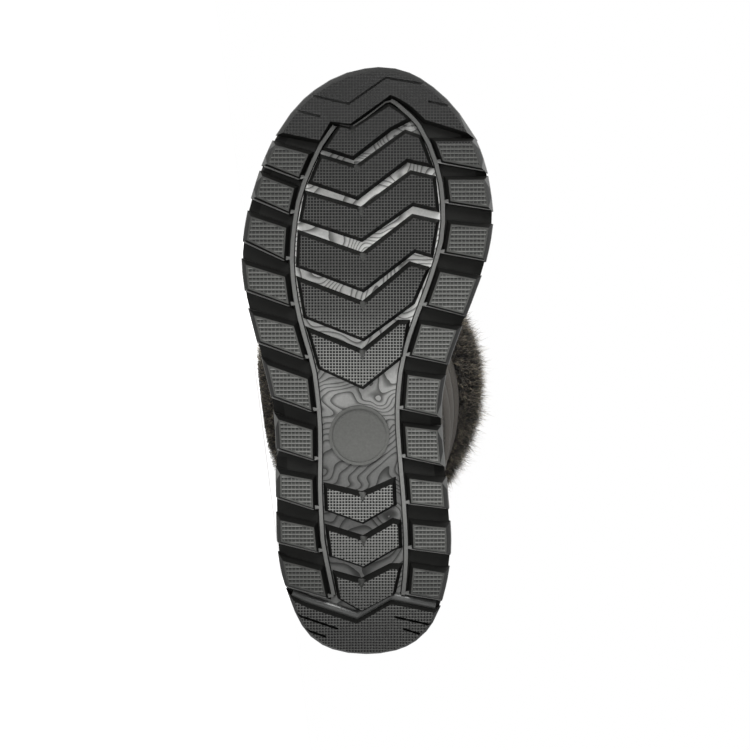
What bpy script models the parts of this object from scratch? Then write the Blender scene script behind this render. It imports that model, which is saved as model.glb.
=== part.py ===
# Apres-ski boot, right foot: moulded outsole, soft upper with quilted shaft, fur cuff and insole.
# The boot is drawn standing (+Y to the toe, +Z up, +X to its outer side) and is then laid
# down on its outer side, the pose in which it rests.  Units are metres.
import math

import bmesh
import bpy
import mathutils
import numpy as np

# Main sizes of the boot
sole_length = 0.285
ball_width = 0.121
instep_height = 0.122
collar_height = 0.245
toe_spring = 0.012
arch_rise = 0.0025
heel_bevel = 0.003
sole_ball_thickness = 0.015
sole_heel_thickness = 0.026

# Tread
lug_height = 0.005
lug_draft = 0.00185
lug_edge_inset = 0.0027
lug_flare = 0.0021
lug_root = 0.002
side_rib_height = 0.0045
side_rib_root = 0.0028
channel_half_width = 0.0036
rail_half_width = 0.0009
rail_height = 0.0026
web_setback = 0.0003
web_rise = 0.0007
sipe_width = 0.0011
sipe_depth = 0.0025
vee_notch_half_width = 0.0010
vee_notch_length = 0.0030
medallion_radius = 0.0146
medallion_ring = 0.0014
medallion_height = 0.0011

# Side wall of the outsole
groove_outlet_inset = 0.0058
groove_outlet_rise = 0.0020
side_wall_inset = 0.0007
side_band_inset = 0.0026
side_band_height = 0.0050
side_band_step = 0.0008
rim_height = 0.0040
rim_width = 0.0022

# Upper and what sits in and on it
seat_gap = 0.0003
rim_gap = 0.0010
upper_wall = 0.0024
feather_height = 0.0095
feather_bulge = 0.0008
ankle_half_width = 0.0430
shaft_half_width = 0.0527
shaft_egg = 0.0040
ankle_shift = -0.0010
shaft_shift = 0.0005
quilt_depth = 0.0022
quilt_pitch = 0.0280
insole_thickness = 0.0042
insole_gap = 0.0005
cuff_drop = 0.0460
cuff_lip = 0.0100
cuff_depth = 0.0116
cuff_press = 0.0003
lock_length = 0.0036
lock_droop = 0.0018

# How finely the curved pieces are cut
outline_points = 80
upper_points = 40
cuff_points = 40
rail_points = 26

ball_half = ball_width / 2

# Outline of the sole: station from the heel and half widths, as shares of length and ball_half
OUTLINE = (
    # station, lateral, medial
    (0.004, 0.190, 0.186),
    (0.012, 0.305, 0.302),
    (0.030, 0.438, 0.435),
    (0.060, 0.545, 0.550),
    (0.100, 0.622, 0.621),
    (0.150, 0.691, 0.671),
    (0.200, 0.720, 0.687),
    (0.260, 0.726, 0.668),
    (0.320, 0.727, 0.642),
    (0.380, 0.729, 0.615),
    (0.440, 0.754, 0.608),
    (0.500, 0.816, 0.656),
    (0.560, 0.890, 0.750),
    (0.620, 0.955, 0.858),
    (0.680, 0.983, 0.954),
    (0.740, 0.952, 1.002),
    (0.800, 0.878, 0.978),
    (0.850, 0.792, 0.920),
    (0.900, 0.668, 0.810),
    (0.940, 0.524, 0.668),
    (0.970, 0.350, 0.510),
    (0.990, 0.158, 0.350),
    (0.997, 0.024, 0.245),
)
toe_centre = 0.099

# Two thin rails that part the side lugs from the centre lugs
RAILS = (
    # station, lateral offset, medial offset
    (0.110, 0.262, 0.296),
    (0.140, 0.290, 0.311),
    (0.173, 0.322, 0.319),
    (0.207, 0.349, 0.318),
    (0.241, 0.357, 0.310),
    (0.293, 0.367, 0.292),
    (0.360, 0.364, 0.264),
    (0.429, 0.374, 0.249),
    (0.463, 0.390, 0.258),
    (0.498, 0.412, 0.277),
    (0.547, 0.477, 0.333),
    (0.580, 0.519, 0.386),
    (0.613, 0.551, 0.445),
    (0.647, 0.572, 0.502),
    (0.680, 0.581, 0.551),
    (0.715, 0.571, 0.592),
    (0.756, 0.546, 0.605),
    (0.785, 0.518, 0.597),
    (0.818, 0.462, 0.574),
    (0.847, 0.402, 0.535),
    (0.871, 0.347, 0.492),
    (0.901, 0.246, 0.415),
)

# How the medial rail runs on to the toe, and the thin ridge that joins it to the lateral rail
RAIL_TOE = (
    # station, offset
    (0.918, 0.344),
    (0.928, 0.289),
    (0.937, 0.242),
    (0.943, 0.195),
)
TOE_RIDGE = (
    # station, offset
    (0.9425, 0.199),
    (0.9391, 0.148),
    (0.9276, 0.078),
    (0.9137, -0.008),
    (0.8995, -0.108),
    (0.9035, -0.203),
)

# Lugs along the two edges, toe to heel: stations of their front and back edges
LATERAL_LUGS = (
    # front inner, front outer, back inner, back outer
    (0.854, 0.869, 0.817, 0.838),
    (0.798, 0.818, 0.760, 0.784),
    (0.733, 0.752, 0.683, 0.713),
    (0.652, 0.672, 0.607, 0.632),
    (0.570, 0.588, 0.518, 0.545),
    (0.481, 0.505, 0.429, 0.453),
    (0.394, 0.412, 0.345, 0.363),
    (0.310, 0.320, 0.262, 0.281),
    (0.229, 0.241, 0.188, 0.204),
    (0.154, 0.171, 0.109, 0.129),
)
MEDIAL_LUGS = (
    # front inner, front outer, back inner, back outer
    (0.875, 0.875, 0.843, 0.831),
    (0.812, 0.812, 0.777, 0.767),
    (0.739, 0.733, 0.694, 0.683),
    (0.660, 0.648, 0.606, 0.591),
    (0.573, 0.563, 0.522, 0.510),
    (0.488, 0.480, 0.432, 0.420),
    (0.400, 0.393, 0.349, 0.337),
    (0.312, 0.305, 0.271, 0.264),
    (0.234, 0.228, 0.193, 0.185),
    (0.159, 0.150, 0.114, 0.105),
)

# Chevron lugs between the rails, toe to heel: stations of the front and back edge at the
# lateral end, the vee, the peak and the medial end, and the offsets of vee and peak
CENTRE_LUGS = (
    # f left, f vee, f peak, f right, b left, b vee, b peak, b right, vee offset, peak offset
    (0.898, 0.894, 0.9325, 0.919, 0.865, 0.851, 0.898, 0.912, -0.103, 0.187),
    (0.847, 0.830, 0.888, 0.880, 0.810, 0.785, 0.847, 0.839, -0.070, 0.318),
    (0.787, 0.761, 0.821, 0.813, 0.748, 0.716, 0.775, 0.766, -0.034, 0.363),
    (0.721, 0.685, 0.749, 0.741, 0.672, 0.632, 0.698, 0.690, -0.023, 0.379),
    (0.643, 0.604, 0.670, 0.663, 0.587, 0.550, 0.610, 0.607, -0.021, 0.361),
    (0.558, 0.523, 0.573, 0.573, 0.501, 0.469, 0.520, 0.520, -0.027, 0.275),
    (0.295, 0.281, 0.303, 0.303, 0.259, 0.238, 0.268, 0.268, -0.028, 0.215),
    (0.223, 0.205, 0.235, 0.233, 0.180, 0.162, 0.193, 0.195, -0.020, 0.225),
    (0.143, 0.131, 0.157, 0.157, 0.106, 0.085, 0.113, 0.113, -0.036, 0.210),
)

# Back edge of the toe block and front edge of the heel block
TOE_BLOCK = (
    # station, offset
    (0.893, -0.656),
    (0.877, -0.363),
    (0.908, -0.277),
    (0.904, -0.122),
    (0.952, 0.193),
    (0.945, 0.265),
    (0.936, 0.335),
    (0.9245, 0.398),
    (0.911, 0.461),
    (0.896, 0.776),
)
HEEL_BLOCK = (
    # station, offset
    (0.102, -0.585),
    (0.091, -0.481),
    (0.062, -0.073),
    (0.096, 0.199),
    (0.080, 0.568),
)

# Thin cuts in the toe and heel blocks
SIPES = (
    # station, offset of each corner of the cut
    ((0.954, -0.500), (0.937, -0.133), (0.980, 0.154), (0.966, 0.560)),
    ((0.929, -0.610), (0.916, -0.354)),
    ((0.941, 0.486), (0.928, 0.770)),
    ((0.080, -0.590), (0.053, -0.225)),
    ((0.052, -0.490), (0.039, -0.322)),
    ((0.074, 0.224), (0.058, 0.560)),
    ((0.053, 0.296), (0.044, 0.432)),
)
medallion_station = 0.383
medallion_offset = -0.055

# Sections of the upper from the feather line to the ankle.  Stations are shares of length,
# heights of instep_height, widths of the sole outline, and round goes from foot to shaft.
UPPER = (
    # back, front, back height, front height, heel width, waist width, ball width, round
    (0.021, 0.972, 0.342, 0.358, 0.90, 0.90, 0.93, 0.00),
    (0.019, 0.955, 0.403, 0.441, 0.90, 0.88, 0.93, 0.00),
    (0.019, 0.915, 0.466, 0.500, 0.90, 0.87, 0.89, 0.02),
    (0.020, 0.860, 0.532, 0.548, 0.91, 0.86, 0.83, 0.06),
    (0.021, 0.800, 0.601, 0.620, 0.92, 0.84, 0.76, 0.14),
    (0.022, 0.735, 0.669, 0.700, 0.93, 0.84, 0.71, 0.26),
    (0.024, 0.670, 0.742, 0.799, 0.95, 0.86, 0.68, 0.42),
    (0.028, 0.615, 0.818, 0.901, 0.97, 0.90, 0.68, 0.60),
    (0.034, 0.570, 0.898, 1.000, 1.00, 0.95, 0.72, 0.80),
)

# Shaft: lowest section, with heights as shares of instep_height, and highest section, with
# heights as shares of collar_height; both are round
SHAFT = (
    # back, front, back height, front height
    (0.040, 0.545, 0.980, 1.075),
    (0.180, 0.577, 0.988, 1.000),
)

# Section of the fur cuff: distance out from the shaft as a share of cuff_depth, height as a
# share of cuff_drop below or cuff_lip above the collar, and 1 where the fur locks stand
CUFF = (
    # out, height, locks
    (0.30, 0.62, 1),
    (0.66, 0.46, 1),
    (0.92, -0.02, 1),
    (1.00, -0.30, 1),
    (1.00, -0.55, 1),
    (0.88, -0.80, 1),
    (0.55, -1.00, 0),
    (0.12, -1.06, 0),
)


def curve(table_x, table_y, at):
    """Smooth curve through table points, read at the places asked for."""
    xs = np.asarray(table_x, dtype=float)
    ys = np.asarray(table_y, dtype=float)
    at = np.clip(np.asarray(at, dtype=float), xs[0], xs[-1])
    slope = np.gradient(ys, xs)
    k = np.clip(np.searchsorted(xs, at) - 1, 0, len(xs) - 2)
    step = xs[k + 1] - xs[k]
    t = (at - xs[k]) / step
    start = (1 + 2 * t) * (1 - t) ** 2 * ys[k] + t * (1 - t) ** 2 * step * slope[k]
    end = t * t * (3 - 2 * t) * ys[k + 1] + t * t * (t - 1) * step * slope[k + 1]
    return start + end


def turn_of(station):
    """Angle round a half circle that goes with a share of length."""
    return np.arccos(np.clip(1 - 2 * np.asarray(station, dtype=float), -1, 1))


def soft_step(low, high, value):
    """Goes smoothly from 0 at low to 1 at high."""
    t = np.clip((np.asarray(value, dtype=float) - low) / (high - low), 0, 1)
    return t * t * (3 - 2 * t)


def half_width(station, side):
    """Half width of the sole at a station; side is 1 lateral or -1 medial."""
    table = np.array(OUTLINE)
    angles = np.concatenate(([0.0], turn_of(table[:, 0]), [math.pi]))
    column = table[:, 1] if side > 0 else table[:, 2]
    widths = np.concatenate(([0.0], column, [-side * toe_centre]))
    return ball_half * curve(angles, widths, turn_of(station))


def rail_offset(station, side):
    """Distance of a rail from the middle of the sole."""
    table = np.array(RAILS)
    stations = table[:, 0]
    column = table[:, 1]
    if side < 0:
        toe = np.array(RAIL_TOE)
        stations = np.concatenate([stations, toe[:, 0]])
        column = np.concatenate([table[:, 2], toe[:, 1]])
    return ball_half * curve(stations, column, station)


def tread_rise(station):
    """Height of the lug tops over the ground: toe spring, arch and heel bevel."""
    s = np.asarray(station, dtype=float)
    toe = toe_spring * np.clip((s - 0.72) / 0.28, 0, 1) ** 2
    arch = arch_rise * np.sin(math.pi * np.clip((s - 0.29) / 0.17, 0, 1)) ** 2
    heel = heel_bevel * np.clip((0.05 - s) / 0.05, 0, 1) ** 2
    return toe + arch + heel


def seat_height(station):
    """Height of the plane on which upper and insole sit."""
    s = np.asarray(station, dtype=float)
    toe = toe_spring * np.clip((s - 0.70) / 0.30, 0, 1) ** 2
    drop = (sole_heel_thickness - sole_ball_thickness) * (1 - soft_step(0.18, 0.62, s))
    return sole_ball_thickness + drop + toe


def outline_ring(inset, count):
    """Points round the sole outline moved in by inset: heel, lateral side, toe, medial side."""
    half = count // 2
    stations = (1 - np.cos(np.linspace(0, math.pi, half + 1))) / 2
    lateral = np.stack([half_width(stations, 1), stations * sole_length], axis=1)
    medial = np.stack([-half_width(stations, -1), stations * sole_length], axis=1)
    ring = np.concatenate([lateral, medial[half - 1:0:-1]])
    tangent = np.roll(ring, -1, axis=0) - np.roll(ring, 1, axis=0)
    tangent /= np.linalg.norm(tangent, axis=1)[:, None]
    inward = np.stack([-tangent[:, 1], tangent[:, 0]], axis=1)
    return ring + inset * inward


def with_height(ring, height):
    """Adds a height to flat points."""
    heights = np.broadcast_to(np.asarray(height, dtype=float), (len(ring),))
    return np.column_stack([ring, heights])


def mesh_object(name, verts, faces, collection):
    """Makes a named object whose faces all point outward."""
    mesh = bpy.data.meshes.new(name)
    mesh.from_pydata([tuple(v) for v in verts], [], faces)
    shape = bmesh.new()
    shape.from_mesh(mesh)
    bmesh.ops.remove_doubles(shape, verts=shape.verts, dist=1e-7)
    bmesh.ops.triangulate(shape, faces=shape.faces)
    bmesh.ops.recalc_face_normals(shape, faces=shape.faces)
    if shape.calc_volume(signed=True) < 0:
        bmesh.ops.reverse_faces(shape, faces=shape.faces)
    shape.to_mesh(mesh)
    shape.free()
    made = bpy.data.objects.new(name, mesh)
    collection.objects.link(made)
    return made


def ring_faces(rings, size, closed):
    """Quads between rings of one size; closed also joins the last ring to the first."""
    faces = []
    steps = rings if closed else rings - 1
    for k in range(steps):
        low = k * size
        high = ((k + 1) % rings) * size
        for j in range(size):
            n = (j + 1) % size
            faces.append((low + j, low + n, high + n, high + j))
    return faces


def strip_cap(start, size):
    """Closes an outline ring with strips from its lateral to its medial side."""
    half = size // 2
    faces = [(start, start + 1, start + size - 1)]
    for j in range(1, half - 1):
        faces.append((start + j, start + j + 1, start + size - j - 1, start + size - j))
    faces.append((start + half - 1, start + half, start + half + 1))
    return faces


def stack(name, rings, collection):
    """Solid from outline rings with strips over both ends."""
    size = len(rings[0])
    verts = np.concatenate(rings)
    faces = ring_faces(len(rings), size, False)
    faces += strip_cap(0, size)
    faces += strip_cap((len(rings) - 1) * size, size)
    return mesh_object(name, verts, faces, collection)


def grown(points, moves):
    """Polygon whose edges move out, each by its own distance; points run one way round."""
    count = len(points)
    area = 0.0
    for j in range(count):
        a = points[j]
        b = points[(j + 1) % count]
        area += a[0] * b[1] - a[1] * b[0]
    turn = 1.0 if area > 0 else -1.0
    lines = []
    for j in range(count):
        a = np.array(points[j])
        b = np.array(points[(j + 1) % count])
        along = (b - a) / np.linalg.norm(b - a)
        out = turn * np.array([along[1], -along[0]])
        lines.append((a + out * moves[j], along, out))
    corners = []
    for j in range(count):
        p, d, out_p = lines[j - 1]
        q, e, out_q = lines[j]
        cross = d[0] * e[1] - d[1] * e[0]
        if abs(cross) < 0.12:
            middle = (out_p * moves[j - 1] + out_q * moves[j]) / 2
            corners.append(np.array(points[j]) + middle)
        else:
            t = ((q[0] - p[0]) * e[1] - (q[1] - p[1]) * e[0]) / cross
            corners.append(p + d * t)
    return np.array(corners)


def lug(name, points, on_edge, collection):
    """Drafted lug; edges marked on_edge run up the side wall of the sole as a rib."""
    inner_levels = (
        # height over the lug top, growth of a tread edge, growth of an outer edge
        (0.0, 0.0, 0.0),
        (lug_height, lug_draft, lug_flare),
        (lug_height + side_rib_height, lug_draft, lug_edge_inset),
        (lug_height + side_rib_height + side_rib_root, lug_draft, 0.0),
    )
    plain_levels = (
        (0.0, 0.0, 0.0),
        (lug_height, lug_draft, lug_draft),
        (lug_height + lug_root, lug_draft, lug_draft),
    )
    levels = inner_levels if any(on_edge) else plain_levels
    rings = []
    for height, tread_move, edge_move in levels:
        moves = [edge_move if edge else tread_move for edge in on_edge]
        ring = grown(points, moves)
        rings.append(with_height(ring, tread_rise(np.array(points)[:, 1] / sole_length) + height))
    size = len(points)
    faces = ring_faces(len(rings), size, False)
    faces.append(tuple(range(size)))
    faces.append(tuple((len(rings) - 1) * size + j for j in range(size)))
    return mesh_object(name, np.concatenate(rings), faces, collection)


def edge_point(station, side):
    """Point on the top edge of the outer lugs."""
    return (side * (float(half_width(station, side)) - lug_edge_inset), station * sole_length)


def side_lug(name, row, side, collection):
    """Lug between a rail and the edge of the sole."""
    front_in, front_out, back_in, back_out = row
    inner = []
    for station in (front_in, back_in):
        offset = float(rail_offset(station, side)) + channel_half_width
        inner.append((side * offset, station * sole_length))
    outer = []
    for share in (0.0, 0.35, 0.7, 1.0):
        outer.append(edge_point(front_out + (back_out - front_out) * share, side))
    points = [inner[0]] + outer + [inner[1]]
    on_edge = [False, True, True, True, False, False]
    return lug(name, points, on_edge, collection)


def centre_lug(name, row, collection):
    """Chevron lug between the two rails."""
    f_left, f_vee, f_peak, f_right, b_left, b_vee, b_peak, b_right, vee, peak = row
    points = []
    for left, dip, top, right in ((f_left, f_vee, f_peak, f_right), (b_left, b_vee, b_peak, b_right)):
        lateral = float(rail_offset(left, 1)) - channel_half_width
        medial = float(rail_offset(right, -1)) - channel_half_width
        shift = (b_peak - top) * 0.2
        line = [
            (lateral, left * sole_length),
            (-vee * ball_half, dip * sole_length),
            (-(peak + shift) * ball_half, top * sole_length),
        ]
        if medial > (peak + shift) * ball_half + lug_draft:
            line.append((-medial, right * sole_length))
        points.append(line)
    outline = points[0] + points[1][::-1]
    return lug(name, outline, [False] * len(outline), collection)


def end_block(name, table, toe, collection):
    """Block that follows the outline round the toe or the heel."""
    inner = [(-offset * ball_half, station * sole_length) for station, offset in table]
    reach = 1.0 if toe else 0.0
    edges = []
    for side, first in ((1, table[0][0]), (-1, table[-1][0])):
        angles = np.linspace(turn_of(first), turn_of(reach), 8)
        edges.append([(1 - math.cos(a)) / 2 for a in angles])
    ring = outline_ring(lug_edge_inset, 256)
    whole = []
    for side, stations in ((1, edges[0]), (-1, edges[1])):
        part = ring[:129] if side > 0 else np.concatenate([ring[0:1], ring[:127:-1]])
        index = np.round(turn_of(stations) / math.pi * 128).astype(int)
        whole.append([tuple(part[i]) for i in index])
    outer = whole[0] + whole[1][-2::-1]
    inner[0] = outer[0]
    inner[-1] = outer[-1]
    points = outer + inner[-2:0:-1]
    on_edge = [True] * (len(outer) - 1) + [False] * (len(inner) - 1)
    return lug(name, points, on_edge, collection)


def rib(name, path, top_half, root_half, height, collection):
    """Thin raised rib along a path on the floor of the tread."""
    path = np.array(path, dtype=float)
    along = np.gradient(path, axis=0)
    along /= np.linalg.norm(along, axis=1)[:, None]
    across = np.stack([along[:, 1], -along[:, 0]], axis=1)
    floor = tread_rise(path[:, 1] / sole_length) + lug_height
    rings = []
    for half, level in ((-top_half, -height), (-root_half, 0.0), (-root_half, lug_root),
                        (root_half, lug_root), (root_half, 0.0), (top_half, -height)):
        rings.append(with_height(path + half * across, floor + level))
    count = len(path)
    verts = np.stack(rings, axis=1).reshape(-1, 3)
    faces = ring_faces(count, len(rings), False)
    faces.append(tuple(range(len(rings))))
    faces.append(tuple((count - 1) * len(rings) + j for j in range(len(rings))))
    return mesh_object(name, verts, faces, collection)


def rail_path(side):
    """Path of one rail from the heel to the toe."""
    stations = np.linspace(RAILS[0][0], RAILS[-1][0], rail_points)
    if side < 0:
        tail = np.linspace(RAILS[-1][0], RAIL_TOE[-1][0], 9)
        stations = np.concatenate([stations, tail[1:]])
    return np.stack([side * rail_offset(stations, side), stations * sole_length], axis=1)


def cut(target, tools, operation):
    """Joins solids to the target or takes them away from it."""
    change = target.modifiers.new(operation, "BOOLEAN")
    change.operation = operation
    change.solver = "EXACT"
    change.operand_type = "COLLECTION"
    change.collection = tools
    bpy.context.view_layer.update()
    seen = bpy.context.evaluated_depsgraph_get()
    result = bpy.data.meshes.new_from_object(target.evaluated_get(seen))
    target.modifiers.clear()
    target.data = result


def tidy(target, smallest):
    """Removes the slivers that a cut leaves and splits all faces into triangles."""
    shape = bmesh.new()
    shape.from_mesh(target.data)
    bmesh.ops.remove_doubles(shape, verts=shape.verts, dist=smallest)
    bmesh.ops.dissolve_degenerate(shape, edges=shape.edges, dist=smallest)
    bmesh.ops.dissolve_limit(shape, angle_limit=0.002, verts=shape.verts, edges=shape.edges)
    bmesh.ops.triangulate(shape, faces=shape.faces)
    shape.to_mesh(target.data)
    shape.free()


def make_outsole(parts, lugs, cuts):
    """The one moulded rubber sole with its whole tread."""
    levels = (
        # inset from the outline, share of the seat height, height over that plane
        (groove_outlet_inset, 0, lug_height),
        (side_wall_inset, 0, lug_height + groove_outlet_rise),
        (side_wall_inset, 1, -side_band_height),
        (side_band_inset, 1, side_band_step - side_band_height),
        (side_band_inset, 1, rim_height),
        (side_band_inset + rim_width, 1, rim_height),
        (side_band_inset + rim_width, 1, 0.0),
    )
    rings = []
    for inset, on_seat, height in levels:
        ring = outline_ring(inset, outline_points)
        stations = np.clip(ring[:, 1] / sole_length, 0, 1)
        plane = seat_height(stations) if on_seat else tread_rise(stations)
        rings.append(with_height(ring, plane + height))
    sole = stack("outsole", rings, parts)
    for k, row in enumerate(LATERAL_LUGS):
        side_lug("lug_lateral_%d" % k, row, 1, lugs)
    for k, row in enumerate(MEDIAL_LUGS):
        side_lug("lug_medial_%d" % k, row, -1, lugs)
    for k, row in enumerate(CENTRE_LUGS):
        centre_lug("lug_centre_%d" % k, row, lugs)
    end_block("lug_toe", TOE_BLOCK, True, lugs)
    end_block("lug_heel", HEEL_BLOCK, False, lugs)
    for side in (1, -1):
        path = rail_path(side)
        rib("rail_%d" % side, path, rail_half_width, rail_half_width * 1.5, rail_height, lugs)
        rows = LATERAL_LUGS if side > 0 else MEDIAL_LUGS
        for k, row in enumerate(rows):
            station = row[2] - web_setback / sole_length
            near = float(rail_offset(station, side))
            web = [(side * near, station * sole_length),
                   (side * (near + channel_half_width), station * sole_length + web_rise)]
            rib("web_%d_%d" % (side, k), web, rail_half_width * 0.7, rail_half_width, rail_height, lugs)
    ridge = [(-offset * ball_half, station * sole_length) for station, offset in TOE_RIDGE]
    rib("toe_ridge", ridge, rail_half_width * 0.4, rail_half_width * 0.7, rail_height, lugs)
    medallion(lugs)
    cut(sole, lugs, "UNION")
    for k, path in enumerate(SIPES):
        places = [(-offset * ball_half, station * sole_length) for station, offset in path]
        sipe("sipe_%d" % k, places, cuts)
    for k, row in enumerate(CENTRE_LUGS):
        vee_notch("notch_%d" % k, row, cuts)
    cut(sole, cuts, "DIFFERENCE")
    tidy(sole, 0.000004)
    return sole


def medallion(collection):
    """Plain round boss with a raised edge, which follows the curve of the arch floor."""
    middle = (-medallion_offset * ball_half, medallion_station * sole_length)
    inner = medallion_radius - medallion_ring
    sunk = medallion_height * 0.35
    count = 32
    turns = np.linspace(0, 2 * math.pi, count + 1)[:-1]
    circle = np.stack([np.cos(turns), np.sin(turns)], axis=1)
    rings = []
    for radius, height in ((medallion_radius * 0.5, -lug_root), (medallion_radius, -lug_root),
                           (medallion_radius, medallion_height), (inner, medallion_height),
                           (inner, sunk), (inner * 0.5, sunk)):
        ring = middle + radius * circle
        floor = tread_rise(ring[:, 1] / sole_length) + lug_height
        rings.append(with_height(ring, floor - height))
    centre = float(tread_rise(medallion_station)) + lug_height
    verts = np.concatenate(rings + [np.array([(*middle, centre + lug_root), (*middle, centre - sunk)])])
    faces = ring_faces(len(rings), count, False)
    last = (len(rings) - 1) * count
    for j in range(count):
        n = (j + 1) % count
        faces.append((n, j, len(rings) * count))
        faces.append((last + j, last + n, len(rings) * count + 1))
    return mesh_object("medallion", verts, faces, collection)


def sipe(name, places, collection):
    """Cutter for a thin cut that runs through corners."""
    fine = []
    for start, end in zip(places[:-1], places[1:]):
        fine.append(start)
    fine.append(places[-1])
    path = np.array(fine)
    along = np.gradient(path, axis=0)
    along /= np.linalg.norm(along, axis=1)[:, None]
    across = np.stack([along[:, 1], -along[:, 0]], axis=1) * sipe_width / 2
    top = tread_rise(path[:, 1] / sole_length)
    rings = [
        with_height(path - across, top - lug_height),
        with_height(path - across, top + sipe_depth),
        with_height(path + across, top + sipe_depth),
        with_height(path + across, top - lug_height),
    ]
    verts = np.stack(rings, axis=1).reshape(-1, 3)
    faces = ring_faces(len(path), 4, False)
    faces.append((0, 1, 2, 3))
    last = (len(path) - 1) * 4
    faces.append((last, last + 1, last + 2, last + 3))
    return mesh_object(name, verts, faces, collection)


def vee_notch(name, row, collection):
    """Cutter for the small notch in the vee of a chevron lug."""
    station = row[1]
    middle = -row[8] * ball_half
    y = station * sole_length
    rise = float(tread_rise(station))
    low = rise - lug_height
    high = rise + lug_height * 0.8
    corners = (
        (middle - vee_notch_half_width * 1.8, y + lug_draft),
        (middle + vee_notch_half_width * 1.8, y + lug_draft),
        (middle, y - vee_notch_length),
    )
    verts = [(x, v, low) for x, v in corners] + [(x, v, high) for x, v in corners]
    faces = [(0, 1, 2), (3, 4, 5), (0, 1, 4, 3), (1, 2, 5, 4), (2, 0, 3, 5)]
    return mesh_object(name, verts, faces, collection)


def upper_sections():
    """Outer sections of the upper and whether each is also kept on the inside."""
    half = upper_points // 2
    share = (1 - np.cos(np.linspace(0, math.pi, half + 1))) / 2
    share = np.concatenate([share, share[half - 1:0:-1]])
    side = np.array([1] * (half + 1) + [-1] * (half - 1))
    inset = side_band_inset + rim_width + rim_gap
    foot = outline_ring(inset, upper_points)
    seat = seat_height(np.clip(foot[:, 1] / sole_length, 0, 1))
    sections = [with_height(foot, seat + seat_gap)]
    sections.append(with_height(foot, seat + rim_height + seat_gap))
    bulged = outline_ring(inset - feather_bulge, upper_points)
    sections.append(with_height(bulged, seat + feather_height))
    kept = [True, False, True]
    lateral = half_width(share, 1) / ball_half
    medial = half_width(share, -1) / ball_half
    outline = np.where(side > 0, lateral, -medial)
    oval = side * np.sqrt(np.clip(1 - (2 * share - 1) ** 2, 0, 1))
    forward = 2 * share - 1
    shaft = oval * (ankle_half_width + shaft_egg * forward) - ankle_shift
    for back, front, back_z, front_z, heel, waist, ball, rounded in UPPER:
        scale = curve((0.0, 0.15, 0.45, 0.72, 1.0), (heel, heel, waist, ball, ball), share)
        across = (1 - rounded) * outline * scale * ball_half + rounded * shaft
        ring = np.stack([across, (back + (front - back) * share) * sole_length], axis=1)
        sections.append(with_height(ring, (back_z + (front_z - back_z) * share) * instep_height))
        kept.append(True)
    low, high = np.array(SHAFT)
    low[2:] *= instep_height
    high[2:] *= collar_height
    span = high[2] - low[2]
    quilts = max(2, round((span - cuff_drop) / quilt_pitch))
    per_quilt = 4
    plain = 3
    puffed = (span - cuff_drop) / span
    steps = [puffed * k / (quilts * per_quilt) for k in range(quilts * per_quilt + 1)]
    steps += [puffed + (1 - puffed) * (k + 1) / plain for k in range(plain)]
    for k, t in enumerate(steps):
        back, front, back_z, front_z = low + (high - low) * np.array([t, t, t, t])
        swell = quilt_depth * math.sin(math.pi * (k % per_quilt) / per_quilt) if t < puffed else 0.0
        middle = (back + front) / 2 * sole_length
        depth = (front - back) / 2 * sole_length + swell
        flare = min(1.0, t / puffed)
        width = ankle_half_width + (shaft_half_width - ankle_half_width) * flare + swell
        x = oval * (width + shaft_egg * forward) - ankle_shift - (shaft_shift - ankle_shift) * flare
        y = middle + forward * depth
        sections.append(np.column_stack([x, y, back_z + (front_z - back_z) * share]))
        kept.append(k % per_quilt == 0 or t >= puffed)
    return np.array(sections), kept


def wall_inside(sections):
    """Inner face of the wall: each point moved in along the surface normal."""
    around = np.roll(sections, -1, axis=1) - np.roll(sections, 1, axis=1)
    upward = np.gradient(sections, axis=0)
    normal = np.cross(around, upward)
    normal /= np.linalg.norm(normal, axis=2)[:, :, None]
    for end in (0, 1, 2, -1):
        normal[end, :, 2] = 0
        normal[end] /= np.linalg.norm(normal[end], axis=1)[:, None]
    return sections - upper_wall * normal


def make_upper(parts):
    """Hollow upper, open at the collar and underneath."""
    outside, kept = upper_sections()
    inside = wall_inside(outside)[kept][::-1]
    verts = np.concatenate([outside.reshape(-1, 3), inside.reshape(-1, 3)])
    faces = ring_faces(len(outside) + len(inside), upper_points, True)
    return mesh_object("upper", verts, faces, parts), outside


def make_insole(parts):
    """Flat insole inside the upper."""
    inset = side_band_inset + rim_width + rim_gap + upper_wall + insole_gap
    ring = outline_ring(inset, upper_points)
    seat = seat_height(np.clip(ring[:, 1] / sole_length, 0, 1))
    low = with_height(ring, seat + seat_gap)
    top = with_height(ring, seat + seat_gap + insole_thickness)
    return stack("insole", [low, top], parts)


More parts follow.
